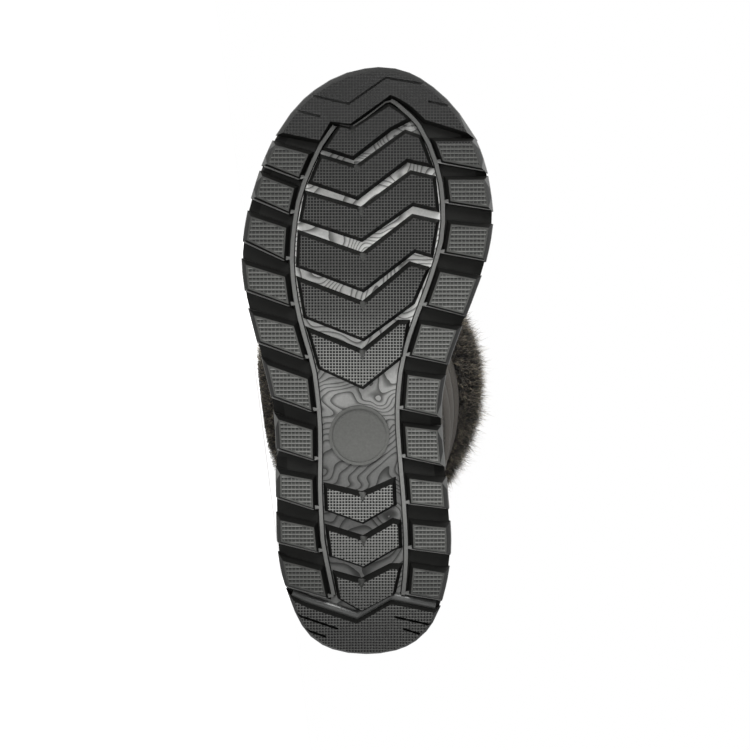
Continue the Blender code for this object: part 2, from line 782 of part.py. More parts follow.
def make_cuff(parts, outside):
    """Fur ring round the collar, with locks standing out of it."""
    collar = outside[-1]
    below = outside[-4]
    index = np.arange(upper_points)
    spots = np.arange(cuff_points) * upper_points / cuff_points
    rim = np.column_stack([np.interp(spots, index, collar[:, k], period=upper_points) for k in range(3)])
    foot = np.column_stack([np.interp(spots, index, below[:, k], period=upper_points) for k in range(3)])
    tangent = np.roll(rim[:, :2], -1, axis=0) - np.roll(rim[:, :2], 1, axis=0)
    out = np.stack([tangent[:, 1], -tangent[:, 0]], axis=1)
    out /= np.linalg.norm(out, axis=1)[:, None]
    thick = cuff_depth - cuff_press * np.clip(out[:, 0], 0, 1) ** 2
    inner_lip = upper_wall + 2 * seat_gap
    down = foot - rim
    rings = []
    for away, drop, lift in ((seat_gap, 1.0, 0.0), (seat_gap, 0.0, seat_gap), (-inner_lip, 0.0, seat_gap),
                             (-inner_lip * 1.3, 0.0, cuff_lip * 0.45)):
        ring = rim + down * drop
        ring[:, :2] += out * away
        ring[:, 2] += lift
        rings.append(ring)
    for share, height, locks in CUFF:
        rise = cuff_lip * height / 0.62 if height > 0 else 0.0
        ring = rim + down * max(0.0, -height)
        ring[:, :2] += out * (share * thick)[:, None]
        ring[:, 2] += rise
        rings.append(ring)
    verts = [tuple(v) for v in np.concatenate(rings)]
    faces = []
    first = 4
    for k in range(len(rings)):
        n = (k + 1) % len(rings)
        furry = k >= first and CUFF[k - first][2] == 1
        for j in range(cuff_points):
            m = (j + 1) % cuff_points
            quad = (k * cuff_points + j, k * cuff_points + m, n * cuff_points + m, n * cuff_points + j)
            if not furry:
                faces.append(quad)
                continue
            corners = np.array([verts[c] for c in quad])
            face_out = np.cross(corners[2] - corners[0], corners[3] - corners[1])
            face_out /= np.linalg.norm(face_out)
            if np.dot(face_out[:2], out[j]) < 0:
                face_out = -face_out
            reach = lock_length * (0.75 + 0.25 * math.cos(2.4 * j + 3.1 * k))
            tip = corners.mean(axis=0) + face_out * reach
            tip[2] -= lock_droop * (0.6 + 0.4 * math.sin(1.7 * j + 2.3 * k))
            verts.append(tuple(tip))
            top = len(verts) - 1
            for c in range(4):
                faces.append((quad[c], quad[(c + 1) % 4], top))
    return mesh_object("fur_cuff", verts, faces, parts)


def volume_middle(solid):
    """Volume of a closed solid and its centre."""
    mesh = solid.data
    points = np.empty(len(mesh.vertices) * 3)
    mesh.vertices.foreach_get("co", points)
    points = points.reshape(-1, 3)
    mesh.calc_loop_triangles()
    corners = np.empty(len(mesh.loop_triangles) * 3, dtype=np.int64)
    mesh.loop_triangles.foreach_get("vertices", corners)
    a, b, c = (points[corners.reshape(-1, 3)[:, k]] for k in range(3))
    volumes = np.einsum("ij,ij->i", a, np.cross(b, c)) / 6
    total = volumes.sum()
    return total, ((a + b + c) / 4 * volumes[:, None]).sum(axis=0) / total, points


def lay_down(solids, densities):
    """Turns the boot onto its outer side, onto the facet of its hull it comes to rest on."""
    weight = 0.0
    moment = np.zeros(3)
    cloud = []
    for solid in solids:
        volume, middle, points = volume_middle(solid)
        mass = abs(volume) * densities[solid.name]
        weight += mass
        moment += mass * middle
        cloud.append(points)
    centre = mathutils.Vector(moment / weight)
    hull = bmesh.new()
    for point in np.concatenate(cloud):
        hull.verts.new(point)
    bmesh.ops.convex_hull(hull, input=hull.verts)
    facets = [f for f in hull.faces if f.calc_area() > 1e-7]
    down = mathutils.Vector((1.0, 0.0, 0.0))
    for attempt in range(40):
        best = None
        reach = 1e9
        for facet in facets:
            slope = facet.normal.dot(down)
            if slope < 1e-6:
                continue
            far = facet.normal.dot(facet.verts[0].co - centre) / slope
            if far < reach:
                reach = far
                best = facet.normal.copy()
        if best.dot(down) > 1 - 1e-10:
            break
        down = best
    hull.free()
    across = mathutils.Vector((0.0, 1.0, 0.0))
    along = (across - down * across.dot(down)).normalized()
    up = -down
    side = along.cross(up)
    turn = mathutils.Matrix((side, along, up)).to_4x4()
    for solid in solids:
        solid.data.transform(turn)
    low = np.full(3, 1e9)
    high = np.full(3, -1e9)
    for solid in solids:
        for vert in solid.data.vertices:
            low = np.minimum(low, vert.co)
            high = np.maximum(high, vert.co)
    shift = mathutils.Matrix.Translation((-(low[0] + high[0]) / 2, -(low[1] + high[1]) / 2, -low[2]))
    for solid in solids:
        solid.data.transform(shift)
        solid.data.update()


def paint(solid, name, colour, rough):
    """Gives a solid its own plain material."""
    material = bpy.data.materials.new(name)
    material.use_nodes = True
    shader = material.node_tree.nodes["Principled BSDF"]
    shader.inputs["Base Color"].default_value = (*colour, 1)
    shader.inputs["Roughness"].default_value = rough
    solid.data.materials.clear()
    solid.data.materials.append(material)


for old in list(bpy.data.objects):
    bpy.data.objects.remove(old, do_unlink=True)
parts = bpy.data.collections.new("apres_ski_boot")
lugs = bpy.data.collections.new("sole_lugs")
cuts = bpy.data.collections.new("sole_cutters")
for group in (parts, lugs, cuts):
    bpy.context.scene.collection.children.link(group)

outsole = make_outsole(parts, lugs, cuts)
upper, upper_rings = make_upper(parts)
insole = make_insole(parts)
cuff = make_cuff(parts, upper_rings)
for group in (lugs, cuts):
    for tool in list(group.objects):
        bpy.data.objects.remove(tool, do_unlink=True)
    bpy.data.collections.remove(group)

paint(outsole, "sole_rubber", (0.060, 0.062, 0.060), 0.6)
paint(upper, "shaft_fabric", (0.090, 0.080, 0.066), 0.8)
paint(insole, "insole_felt", (0.20, 0.19, 0.17), 0.9)
paint(cuff, "fur", (0.055, 0.042, 0.033), 0.95)

densities = {"outsole": 1100.0, "upper": 450.0, "insole": 200.0, "fur_cuff": 200.0}
lay_down([outsole, upper, insole, cuff], densities)
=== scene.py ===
import math

import bmesh
import bpy
import mathutils
import numpy as np
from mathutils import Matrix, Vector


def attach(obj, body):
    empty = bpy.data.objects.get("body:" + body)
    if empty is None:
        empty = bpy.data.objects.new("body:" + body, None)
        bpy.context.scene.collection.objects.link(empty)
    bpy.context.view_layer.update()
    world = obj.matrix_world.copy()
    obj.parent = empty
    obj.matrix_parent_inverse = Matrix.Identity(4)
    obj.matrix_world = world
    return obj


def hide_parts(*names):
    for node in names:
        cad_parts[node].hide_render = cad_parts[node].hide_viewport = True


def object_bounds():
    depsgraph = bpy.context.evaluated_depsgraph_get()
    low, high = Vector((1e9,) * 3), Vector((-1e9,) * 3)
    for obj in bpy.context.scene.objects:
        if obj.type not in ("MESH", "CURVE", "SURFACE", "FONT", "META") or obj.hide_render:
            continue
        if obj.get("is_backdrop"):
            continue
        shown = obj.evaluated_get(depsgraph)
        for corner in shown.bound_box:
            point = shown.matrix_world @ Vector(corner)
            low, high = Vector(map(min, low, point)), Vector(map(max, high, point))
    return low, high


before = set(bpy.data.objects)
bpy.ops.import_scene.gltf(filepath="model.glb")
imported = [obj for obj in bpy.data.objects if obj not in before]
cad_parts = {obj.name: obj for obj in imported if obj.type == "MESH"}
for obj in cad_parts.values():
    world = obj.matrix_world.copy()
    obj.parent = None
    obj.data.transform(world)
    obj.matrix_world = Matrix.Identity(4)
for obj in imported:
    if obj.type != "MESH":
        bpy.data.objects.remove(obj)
cadLow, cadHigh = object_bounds()
print("frame loaded")

# The boot is drawn standing: x to its outer side, y to the toe, z up, in metres.
# turn and shift lay it on its outer side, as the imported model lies.
pose = {
    "turn": ((0.08143106, 0.0, 0.99667898),
             (0.11653224, 0.99314127, -0.00952095),
             (-0.98984303, 0.11692053, 0.08087255)),
    "shift": (-0.12687394, -0.14086576, 0.03597402),
}
turn = np.array(pose["turn"])
shift = np.array(pose["shift"])

shoe = {
    "length": 0.285,
    "ballHalf": 0.0605,
    "instepHeight": 0.122,
    "collarHeight": 0.245,
    "toeSpring": 0.012,
    "archRise": 0.0025,
    "heelBevel": 0.003,
    "ballThickness": 0.015,
    "heelThickness": 0.026,
    "lugHeight": 0.005,
    "toeCentre": 0.099,
}

# station from the heel as a share of length, lateral and medial half width as shares of ballHalf
outlineTable = np.array((
    (0.004, 0.190, 0.186), (0.012, 0.305, 0.302), (0.030, 0.438, 0.435), (0.060, 0.545, 0.550),
    (0.100, 0.622, 0.621), (0.150, 0.691, 0.671), (0.200, 0.720, 0.687), (0.260, 0.726, 0.668),
    (0.320, 0.727, 0.642), (0.380, 0.729, 0.615), (0.440, 0.754, 0.608), (0.500, 0.816, 0.656),
    (0.560, 0.890, 0.750), (0.620, 0.955, 0.858), (0.680, 0.983, 0.954), (0.740, 0.952, 1.002),
    (0.800, 0.878, 0.978), (0.850, 0.792, 0.920), (0.900, 0.668, 0.810), (0.940, 0.524, 0.668),
    (0.970, 0.350, 0.510), (0.990, 0.158, 0.350), (0.997, 0.024, 0.245),
))

# station, lateral and medial distance of the two rails from the middle of the sole
railTable = np.array((
    (0.110, 0.262, 0.296), (0.140, 0.290, 0.311), (0.173, 0.322, 0.319), (0.207, 0.349, 0.318),
    (0.241, 0.357, 0.310), (0.293, 0.367, 0.292), (0.360, 0.364, 0.264), (0.429, 0.374, 0.249),
    (0.463, 0.390, 0.258), (0.498, 0.412, 0.277), (0.547, 0.477, 0.333), (0.580, 0.519, 0.386),
    (0.613, 0.551, 0.445), (0.647, 0.572, 0.502), (0.680, 0.581, 0.551), (0.715, 0.571, 0.592),
    (0.756, 0.546, 0.605), (0.785, 0.518, 0.597), (0.818, 0.462, 0.574), (0.847, 0.402, 0.535),
    (0.871, 0.347, 0.492), (0.901, 0.246, 0.415), (0.918, 0.195, 0.344), (0.928, 0.165, 0.289),
    (0.937, 0.135, 0.242), (0.943, 0.105, 0.195),
))

# sections of the upper: back and front station, back and front height as shares of
# instepHeight, heel, waist and ball width as shares of the outline, and how round it is
upperTable = np.array((
    (0.021, 0.972, 0.342, 0.358, 0.90, 0.90, 0.93, 0.00),
    (0.019, 0.955, 0.403, 0.441, 0.90, 0.88, 0.93, 0.00),
    (0.019, 0.915, 0.466, 0.500, 0.90, 0.87, 0.89, 0.02),
    (0.020, 0.860, 0.532, 0.548, 0.91, 0.86, 0.83, 0.06),
    (0.021, 0.800, 0.601, 0.620, 0.92, 0.84, 0.76, 0.14),
    (0.022, 0.735, 0.669, 0.700, 0.93, 0.84, 0.71, 0.26),
    (0.024, 0.670, 0.742, 0.799, 0.95, 0.86, 0.68, 0.42),
    (0.028, 0.615, 0.818, 0.901, 0.97, 0.90, 0.68, 0.60),
    (0.034, 0.570, 0.898, 1.000, 1.00, 0.95, 0.72, 0.80),
))


def cubicPiece(t, step, start, end, startSlope, endSlope):
    # cubic from start to end over one step, with a slope at each end
    return ((1 + 2 * t) * (1 - t) ** 2 * start + t * (1 - t) ** 2 * step * startSlope
            + t * t * (3 - 2 * t) * end + t * t * (t - 1) * step * endSlope)


def smoothCurve(tableX, tableY, at):
    # smooth curve through the table's points: cubic pieces whose slopes are central differences
    xs = np.asarray(tableX, dtype=float)
    ys = np.asarray(tableY, dtype=float)
    at = np.clip(np.asarray(at, dtype=float), xs[0], xs[-1])
    slope = np.gradient(ys, xs)
    k = np.clip(np.searchsorted(xs, at) - 1, 0, len(xs) - 2)
    step = xs[k + 1] - xs[k]
    return cubicPiece((at - xs[k]) / step, step, ys[k], ys[k + 1], slope[k], slope[k + 1])


def unit(vectors):
    return vectors / np.linalg.norm(vectors, axis=-1, keepdims=True)


def between(value, low, high):
    return (value > low) & (value < high)


def softStep(low, high, value):
    # 0 at low, 1 at high, with a smooth run between them
    t = np.clip((np.asarray(value, dtype=float) - low) / (high - low), 0, 1)
    return t * t * (3 - 2 * t)


def angleOf(station):
    # angle round a half circle that goes with a share of length
    return np.arccos(np.clip(1 - 2 * np.asarray(station, dtype=float), -1, 1))


def halfWidth(station, side):
    # half width of the sole outline, read over the angle so that heel and toe close roundly
    angles = np.concatenate(([0.0], angleOf(outlineTable[:, 0]), [math.pi]))
    widths = np.concatenate(([0.0], outlineTable[:, 1 if side > 0 else 2], [-side * shoe["toeCentre"]]))
    return shoe["ballHalf"] * smoothCurve(angles, widths, angleOf(station))


def railOffset(station, side):
    # distance of a rail's middle line from the middle of the sole
    return shoe["ballHalf"] * smoothCurve(railTable[:, 0], railTable[:, 1 if side > 0 else 2], station)


def treadRise(station):
    # height of the lug tops over the ground: toe spring, arch and heel bevel
    s = np.asarray(station, dtype=float)
    toe = shoe["toeSpring"] * np.clip((s - 0.72) / 0.28, 0, 1) ** 2
    arch = shoe["archRise"] * np.sin(math.pi * np.clip((s - 0.29) / 0.17, 0, 1)) ** 2
    heel = shoe["heelBevel"] * np.clip((0.05 - s) / 0.05, 0, 1) ** 2
    return toe + arch + heel


def seatHeight(station):
    # height of the plane on which upper and insole sit
    s = np.asarray(station, dtype=float)
    toe = shoe["toeSpring"] * np.clip((s - 0.70) / 0.30, 0, 1) ** 2
    drop = (shoe["heelThickness"] - shoe["ballThickness"]) * (1 - softStep(0.18, 0.62, s))
    return shoe["ballThickness"] + drop + toe


def outlineRing(inset, count):
    # closed loop heel, lateral side, toe, medial side, moved in by inset along its normals
    half = count // 2
    stations = (1 - np.cos(np.linspace(0, math.pi, half + 1))) / 2
    lateral, medial = (np.stack([side * halfWidth(stations, side), stations * shoe["length"]], axis=1)
                       for side in (1, -1))
    ring = np.concatenate([lateral, medial[half - 1:0:-1]])
    tangent = unit(np.roll(ring, -1, axis=0) - np.roll(ring, 1, axis=0))
    return ring + inset * np.stack([-tangent[:, 1], tangent[:, 0]], axis=1)


def layDown(points):
    # standing points to the pose in which the boot lies
    return points @ turn.T + shift


def standUp(points):
    return (points - shift) @ turn


def inScene(name, data):
    item = bpy.data.objects.new(name, data)
    bpy.context.scene.collection.objects.link(item)
    return item


def addPiece(name, mesh):
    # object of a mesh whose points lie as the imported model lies, riding on the boot
    piece = inScene(name, mesh)
    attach(piece, "root")
    return piece


def newPiece(name, verts, faces, material):
    # smooth piece from standing points and faces
    mesh = bpy.data.meshes.new(name)
    if isinstance(faces, np.ndarray):
        faces = faces.tolist()
    mesh.from_pydata(layDown(np.asarray(verts)).tolist(), [], faces)
    mesh.materials.append(material)
    mesh.polygons.foreach_set("use_smooth", np.full(len(mesh.polygons), True))
    mesh.update()
    return addPiece(name, mesh)


def markEdges(shape, angle):
    # edges that turn by less than the angle are shaded smoothly
    for edge in shape.edges:
        edge.smooth = edge.calc_face_angle(0.0) < angle


def turnOutward(mesh, merge=False, sharp=None):
    # all faces look outward; merge joins points that fall together
    shape = bmesh.new()
    shape.from_mesh(mesh)
    if merge:
        bmesh.ops.remove_doubles(shape, verts=shape.verts, dist=1e-6)
    bmesh.ops.recalc_face_normals(shape, faces=shape.faces)
    if sharp:
        markEdges(shape, sharp)
    shape.to_mesh(mesh)
    shape.free()


def addValues(mesh, name, domain, values):
    layer = mesh.attributes.new(name, "FLOAT", domain)
    layer.data.foreach_set("value", values.astype(np.float32))


def gridFaces(rows, columns, closedRows):
    # quads of a grid that is closed along its columns, and along its rows if closedRows
    count = rows if closedRows else rows - 1
    k, j = np.meshgrid(np.arange(count), np.arange(columns), indexing="ij")
    nextK = (k + 1) % rows
    nextJ = (j + 1) % columns
    corners = (k * columns + j, k * columns + nextJ, nextK * columns + nextJ, nextK * columns + j)
    return np.stack(corners, axis=-1).reshape(-1, 4)


def gridNormals(grid):
    # normal of a closed grid of points, from the differences along its two directions
    around = np.roll(grid, -1, axis=1) - np.roll(grid, 1, axis=1)
    upward = np.gradient(grid, axis=0)
    normal = np.cross(around, upward)
    return normal / np.maximum(np.linalg.norm(normal, axis=2), 1e-12)[:, :, None]


# Materials


def feed(tree, node, inputs):
    # every listed input is joined to a socket, or gets a number, a vector or a colour
    for key, value in inputs.items():
        socket = node.inputs[key]
        if isinstance(value, bpy.types.NodeSocket):
            tree.links.new(value, socket)
        elif socket.type == "RGBA":
            socket.default_value = (*value[:3], 1.0)
        else:
            socket.default_value = value


def newNode(tree, kind, inputs, **settings):
    node = tree.nodes.new("ShaderNode" + kind)
    for name, value in settings.items():
        setattr(node, name, value)
    feed(tree, node, inputs)
    return node


def startMaterial(name):
    material = bpy.data.materials.new(name)
    material.use_nodes = True
    return material, material.node_tree, material.node_tree.nodes["Principled BSDF"]


def math2(tree, operation, *values):
    # one Math node; the values are sockets or numbers
    return newNode(tree, "Math", dict(enumerate(values)), operation=operation).outputs[0]


def times(tree, a, b):
    return math2(tree, "MULTIPLY", a, b)


def plus(tree, a, b):
    return math2(tree, "ADD", a, b)


def mixColour(tree, factor, first, second, blend="MIX"):
    inputs = {0: factor, 6: first, 7: second}
    return newNode(tree, "Mix", inputs, data_type="RGBA", blend_type=blend).outputs[2]


def multiplyColour(tree, first, second):
    return mixColour(tree, 1.0, first, second, "MULTIPLY")


def standingCoordinates(tree):
    # Object coordinates turned back to the standing boot, so that a pattern follows the sole
    back = mathutils.Matrix(turn.T.tolist()).to_euler("XYZ")
    inputs = {"Vector": objectCoordinates(tree), "Rotation": back, "Location": tuple(-shift @ turn)}
    return newNode(tree, "Mapping", inputs).outputs["Vector"]


def objectCoordinates(tree):
    return newNode(tree, "TexCoord", {}).outputs["Object"]


def noiseAt(tree, vector, scale, detail=3.0, rough=0.55, distortion=0.0):
    inputs = {"Vector": vector, "Scale": scale, "Detail": detail, "Roughness": rough}
    inputs["Distortion"] = distortion
    return newNode(tree, "TexNoise", inputs).outputs["Fac"]


def rampOf(tree, value, low, high):
    # 0 at low to 1 at high, smooth
    inputs = {"Value": value, "From Min": low, "From Max": high}
    return newNode(tree, "MapRange", inputs, interpolation_type="SMOOTHSTEP").outputs["Result"]


def bumpOf(tree, height, distance, strength):
    inputs = {"Height": height, "Distance": distance, "Strength": strength}
    return newNode(tree, "Bump", inputs).outputs["Normal"]


def attributeOf(tree, name):
    return newNode(tree, "Attribute", {}, attribute_name=name).outputs["Fac"]


def stepsOf(tree, value, stops):
    # grey multiplier read from (place, value) stops
    node = newNode(tree, "ValToRGB", {0: value})
    elements = node.color_ramp.elements
    while len(elements) < len(stops):
        elements.new(0.5)
    for element, (place, grey) in zip(elements, stops):
        element.position = place
        element.color = (grey, grey, grey, 1.0)
    return node.outputs["Color"]


def gridLines(tree, x, y, pitch, width):
    # 1 on the lines of a square grid of that pitch, 0 in its pits
    lines = []
    for value in (x, y):
        share = math2(tree, "FRACT", times(tree, value, 1.0 / pitch))
        away = math2(tree, "ABSOLUTE", math2(tree, "SUBTRACT", share, 0.5))
        lines.append(rampOf(tree, away, 0.5 - width, 0.5 - width * 0.35))
    return math2(tree, "MAXIMUM", *lines)


rubberLook = {
    # waffle on the middle lugs: painted highlight on its lines, painted shade in its pits
    "line": (0.330, 0.331, 0.318),
    "pit": (0.012, 0.013, 0.012),
    # side lugs: painted highlight on the ridges, painted shadow in the pit under each ridge
    "sideRidgeLit": (0.172, 0.174, 0.165),
    "sideLow": (0.072, 0.073, 0.069),
    "sidePitShadow": (0.012, 0.013, 0.012),
    # floors between the chevrons: their bright colour is a painted highlight of the glossy rubber
    "floor": (0.600, 0.602, 0.584),
    "floorStepShade": (0.150, 0.151, 0.144),
    "boss": (0.090, 0.091, 0.086),
    "plain": (0.066, 0.067, 0.063),
    "rail": (0.155, 0.156, 0.150),
    "wafflePitch": 0.00145,
    "waffleWidth": 0.19,
    "rowPitch": 0.0020,
    "columnPitch": 0.0018,
    # shares of a row or column over which its painted pit shadow, ridge or lengthwise ridge rises
    "rowPitShadow": (0.05, 0.62),
    "rowRidge": (0.62, 0.76),
    "columnRidge": (0.70, 0.82),
    "columnShare": 0.45,
    "wavePitch": 0.0046,
    "waveSwing": 0.085,
    "waveSlant": 0.45,
    "waveLine": (0.45, 1.0),
    # walls and groove floors: black rubber darkened with painted shade
    "wall": (0.0075, 0.0076, 0.0070),
    "groove": (0.0150, 0.0152, 0.0142),
    # painted sheen along the sole, bright over the arch, dark at toe and heel: (share of length, brightness)
    "waffleSheen": ((0.0, 0.21), (0.05, 0.23), (0.085, 0.30), (0.12, 0.42), (0.20, 0.70), (0.28, 0.82),
                   (0.45, 0.86), (0.53, 0.66), (0.59, 0.37), (0.66, 0.22), (0.74, 0.20), (0.80, 0.155),
                   (0.88, 0.100), (0.95, 0.055), (1.0, 0.050)),
    "floorSheen": ((0.0, 0.16), (0.17, 0.22), (0.25, 0.22), (0.325, 0.165), (0.37, 0.24), (0.42, 0.33),
                  (0.465, 0.42), (0.50, 0.60), (0.545, 0.85), (0.64, 0.92), (0.72, 1.0), (0.79, 0.90),
                  (0.865, 0.34), (1.0, 0.24)),
    "otherSheen": ((0.0, 0.34), (0.06, 0.36), (0.15, 0.66), (0.26, 1.0), (0.50, 1.0), (0.60, 0.90),
                  (0.72, 0.67), (0.85, 0.42), (0.95, 0.32)),
}


def makeRubber():
    # lug tops, floors between them and rails: moulded textures, painted light and shade, painted sheen
    material, tree, shader = startMaterial("soleRubber")
    look = rubberLook
    place = standingCoordinates(tree)
    axes = newNode(tree, "SeparateXYZ", {0: place})
    x, y = axes.outputs[0], axes.outputs[1]
    waffle = gridLines(tree, x, y, look["wafflePitch"], look["waffleWidth"])
    # side lugs: ridges across, lit on their toe side, with weaker ridges lengthwise between them
    row = math2(tree, "FRACT", times(tree, y, 1 / look["rowPitch"]))
    column = math2(tree, "FRACT", times(tree, x, 1 / look["columnPitch"]))
    ridge = rampOf(tree, row, *look["rowRidge"])
    lengthwise = times(tree, rampOf(tree, column, *look["columnRidge"]), look["columnShare"])
    weave = math2(tree, "MAXIMUM", ridge, lengthwise)
    # wavy terraces on the low floors: slanting bands bent by a slow noise, with painted shade at each step
    bend = times(tree, noiseAt(tree, place, 30.0, 1.5, 0.45, 0.6), look["waveSwing"])
    wave = plus(tree, plus(tree, y, times(tree, x, look["waveSlant"])), bend)
    terrace = math2(tree, "FRACT", times(tree, wave, 1 / look["wavePitch"]))
    groove = rampOf(tree, terrace, *look["waveLine"])
    zones = {name: attributeOf(tree, name) for name in ("waffle", "grid", "level", "boss", "rail")}
    mottle = noiseAt(tree, place, 900.0, 4.0, 0.6)
    cloudy = noiseAt(tree, place, 60.0)
    share = times(tree, y, 1 / shoe["length"])
    # painted sheen: a brightness along the sole that multiplies the colours below
    paintedSheen = {name: stepsOf(tree, share, look[name]) for name in ("waffleSheen", "floorSheen", "otherSheen")}
    # waffle colour: painted highlight on the lines, painted shade in the pits
    waffleColour = mixColour(tree, waffle, look["pit"], look["line"])
    waffleColour = multiplyColour(tree, waffleColour, paintedSheen["waffleSheen"])
    # floor colour: bright painted highlight, darkening across each terrace to painted shade at its step
    floorColour = mixColour(tree, groove, look["floor"], look["floorStepShade"])
    floorColour = multiplyColour(tree, floorColour, paintedSheen["floorSheen"])
    # side lug colour: painted shadow under each ridge fading to the pit floor, painted highlight on the
    # ridges
    sideColour = mixColour(tree, rampOf(tree, row, *look["rowPitShadow"]), look["sideLow"], look["sidePitShadow"])
    sideColour = mixColour(tree, weave, sideColour, look["sideRidgeLit"])
    colour = mixColour(tree, zones["grid"], look["plain"], sideColour)
    colour = mixColour(tree, zones["rail"], colour, look["rail"])
    colour = multiplyColour(tree, colour, paintedSheen["otherSheen"])
    for name, top in (("waffle", waffleColour), ("level", floorColour), ("boss", look["boss"])):
        colour = mixColour(tree, zones[name], colour, top)
    shade = math2(tree, "MULTIPLY_ADD", mottle, 0.5, 0.75)
    tint = newNode(tree, "CombineColor", {0: shade, 1: shade, 2: shade})
    smooth = times(tree, math2(tree, "MAXIMUM", zones["level"], zones["boss"]), -0.16)
    height = times(tree, waffle, zones["waffle"])
    step = times(tree, math2(tree, "SUBTRACT", 1.0, groove), zones["level"])
    relief = ((times(tree, weave, zones["grid"]), 1.9), (step, 0.7), (mottle, 0.12))
    for value, share in relief:
        height = plus(tree, height, times(tree, value, share))
    feed(tree, shader, {
        "Base Color": multiplyColour(tree, colour, tint.outputs[0]),
        "Roughness": plus(tree, math2(tree, "MULTIPLY_ADD", cloudy, 0.16, 0.46), smooth),
        "Specular IOR Level": 0.22,
        "Normal": bumpOf(tree, height, 0.00035, 0.9),
    })
    return material


def makeGrooveRubberPaintedShade():
    # walls of the lugs and the grooves between them: matt black rubber, darkened with painted shade of these
    # recesses
    material, tree, shader = startMaterial("grooveRubberPaintedShade")
    place = standingCoordinates(tree)
    mottle = noiseAt(tree, place, 700.0, 4.0, 0.6)
    cloudy = noiseAt(tree, place, 90.0)
    shades = []
    for name, mix in (("wall", mottle), ("groove", cloudy)):
        full = rubberLook[name]
        shades.append(mixColour(tree, mix, tuple(0.7 * c for c in full), full))
    feed(tree, shader, {
        "Base Color": mixColour(tree, attributeOf(tree, "groove"), *shades),
        "Roughness": 0.62,
        "Specular IOR Level": 0.10,
        "Normal": bumpOf(tree, mottle, 0.0001, 0.5),
    })
    return material


fabricLook = {
    "yarn": (0.066, 0.057, 0.045),
    "shade": (0.032, 0.027, 0.021),
    "seam": (0.014, 0.012, 0.009),
    "tintLow": (0.78, 0.78, 0.78),
    "tintHigh": (1.18, 1.16, 1.14),
    "pitch": 0.00085,
}


def makeFabric():
    # woven shell cloth: two crossing sets of yarns on the piece's own UV, in metres
    material, tree, shader = startMaterial("shaftFabric")
    look = fabricLook
    where = newNode(tree, "UVMap", {}, uv_map="cloth")
    axes = newNode(tree, "SeparateXYZ", {0: where.outputs[0]})
    yarns = [math2(tree, "SINE", times(tree, axes.outputs[index], 2 * math.pi / look["pitch"]))
             for index in (0, 1)]
    weave = math2(tree, "MULTIPLY_ADD", times(tree, *yarns), 0.5, 0.5)
    place = objectCoordinates(tree)
    cloudy = noiseAt(tree, place, 45.0, 4.0, 0.6)
    fuzz = noiseAt(tree, place, 1400.0, 3.0, 0.6)
    colour = mixColour(tree, weave, look["shade"], look["yarn"])
    colour = multiplyColour(tree, colour, mixColour(tree, cloudy, look["tintLow"], look["tintHigh"]))
    seam = rampOf(tree, attributeOf(tree, "seam"), 0.0, 1.0)
    feed(tree, shader, {
        "Base Color": mixColour(tree, seam, colour, look["seam"]),
        "Roughness": 0.86,
        "Specular IOR Level": 0.2,
        "Sheen Weight": 0.08,
        "Sheen Roughness": 0.5,
        "Normal": bumpOf(tree, plus(tree, weave, times(tree, fuzz, 0.5)), 0.00022, 0.7),
    })
    return material


def makeSoft(name, low, high, scale, distance):
    # felt, fleece and the skin under the fur: cloudy colour with a fine nap
    material, tree, shader = startMaterial(name)
    place = objectCoordinates(tree)
    nap = noiseAt(tree, place, scale, 5.0, 0.65)
    cloudy = noiseAt(tree, place, 70.0, 3.0, 0.5)
    both = times(tree, plus(tree, nap, cloudy), 0.5)
    feed(tree, shader, {
        "Base Color": mixColour(tree, rampOf(tree, both, 0.35, 0.65), low, high),
        "Roughness": 0.95,
        "Sheen Weight": 0.3,
        "Normal": bumpOf(tree, nap, distance, 0.9),
    })
    return material


def makeHair(name, root, tip):
    # fur strands: dark at the root, paler at the tip, each strand with its own shade
    material, tree, shader = startMaterial(name)
    colour = mixColour(tree, rampOf(tree, attributeOf(tree, "along"), 0.60, 1.0), root, tip)
    tint = mixColour(tree, attributeOf(tree, "strand"), (0.28, 0.28, 0.29), (1.75, 1.70, 1.60))
    feed(tree, shader, {
        "Base Color": multiplyColour(tree, colour, tint),
        "Roughness": 0.6,
        "Sheen Weight": 0.2,
    })
    return material


def makeSmoothRubber(name, colour, rough):
    # rubber of the thin ridges and of the bead in front of the heel; the ridges' light colour is a painted
    # highlight
    material, tree, shader = startMaterial(name)
    mottle = noiseAt(tree, standingCoordinates(tree), 500.0, 4.0, 0.6)
    feed(tree, shader, {
        "Base Color": mixColour(tree, mottle, tuple(0.75 * c for c in colour), colour),
        "Roughness": rough,
        "Specular IOR Level": 0.4,
        "Normal": bumpOf(tree, mottle, 0.0001, 0.6),
    })
    return material


soleRubber = makeRubber()
grooveRubberPaintedShade = makeGrooveRubberPaintedShade()
# the thin ridges are painted light: a painted highlight along the back edge of each outer lug
ridgeRubberHighlight = makeSmoothRubber("ridgeRubberHighlight", (0.16, 0.16, 0.155), 0.42)
beadRubber = makeSmoothRubber("beadRubber", (0.060, 0.061, 0.059), 0.30)
shaftFabric = makeFabric()
stitchThread = makeSoft("stitchThread", (0.05, 0.045, 0.038), (0.09, 0.08, 0.068), 2500.0, 0.00008)
fleece = makeSoft("fleeceLining", (0.10, 0.085, 0.070), (0.20, 0.175, 0.150), 420.0, 0.0012)
felt = makeSoft("insoleFelt", (0.16, 0.15, 0.13), (0.26, 0.24, 0.21), 900.0, 0.0004)
furSkin = makeSoft("furSkin", (0.018, 0.014, 0.011), (0.035, 0.028, 0.022), 500.0, 0.0008)
darkFur = makeHair("darkFur", (0.006, 0.005, 0.004), (0.024, 0.020, 0.015))
paleFur = makeHair("paleFur", (0.008, 0.007, 0.005), (0.560, 0.500, 0.390))
print("materials made")


# Outsole

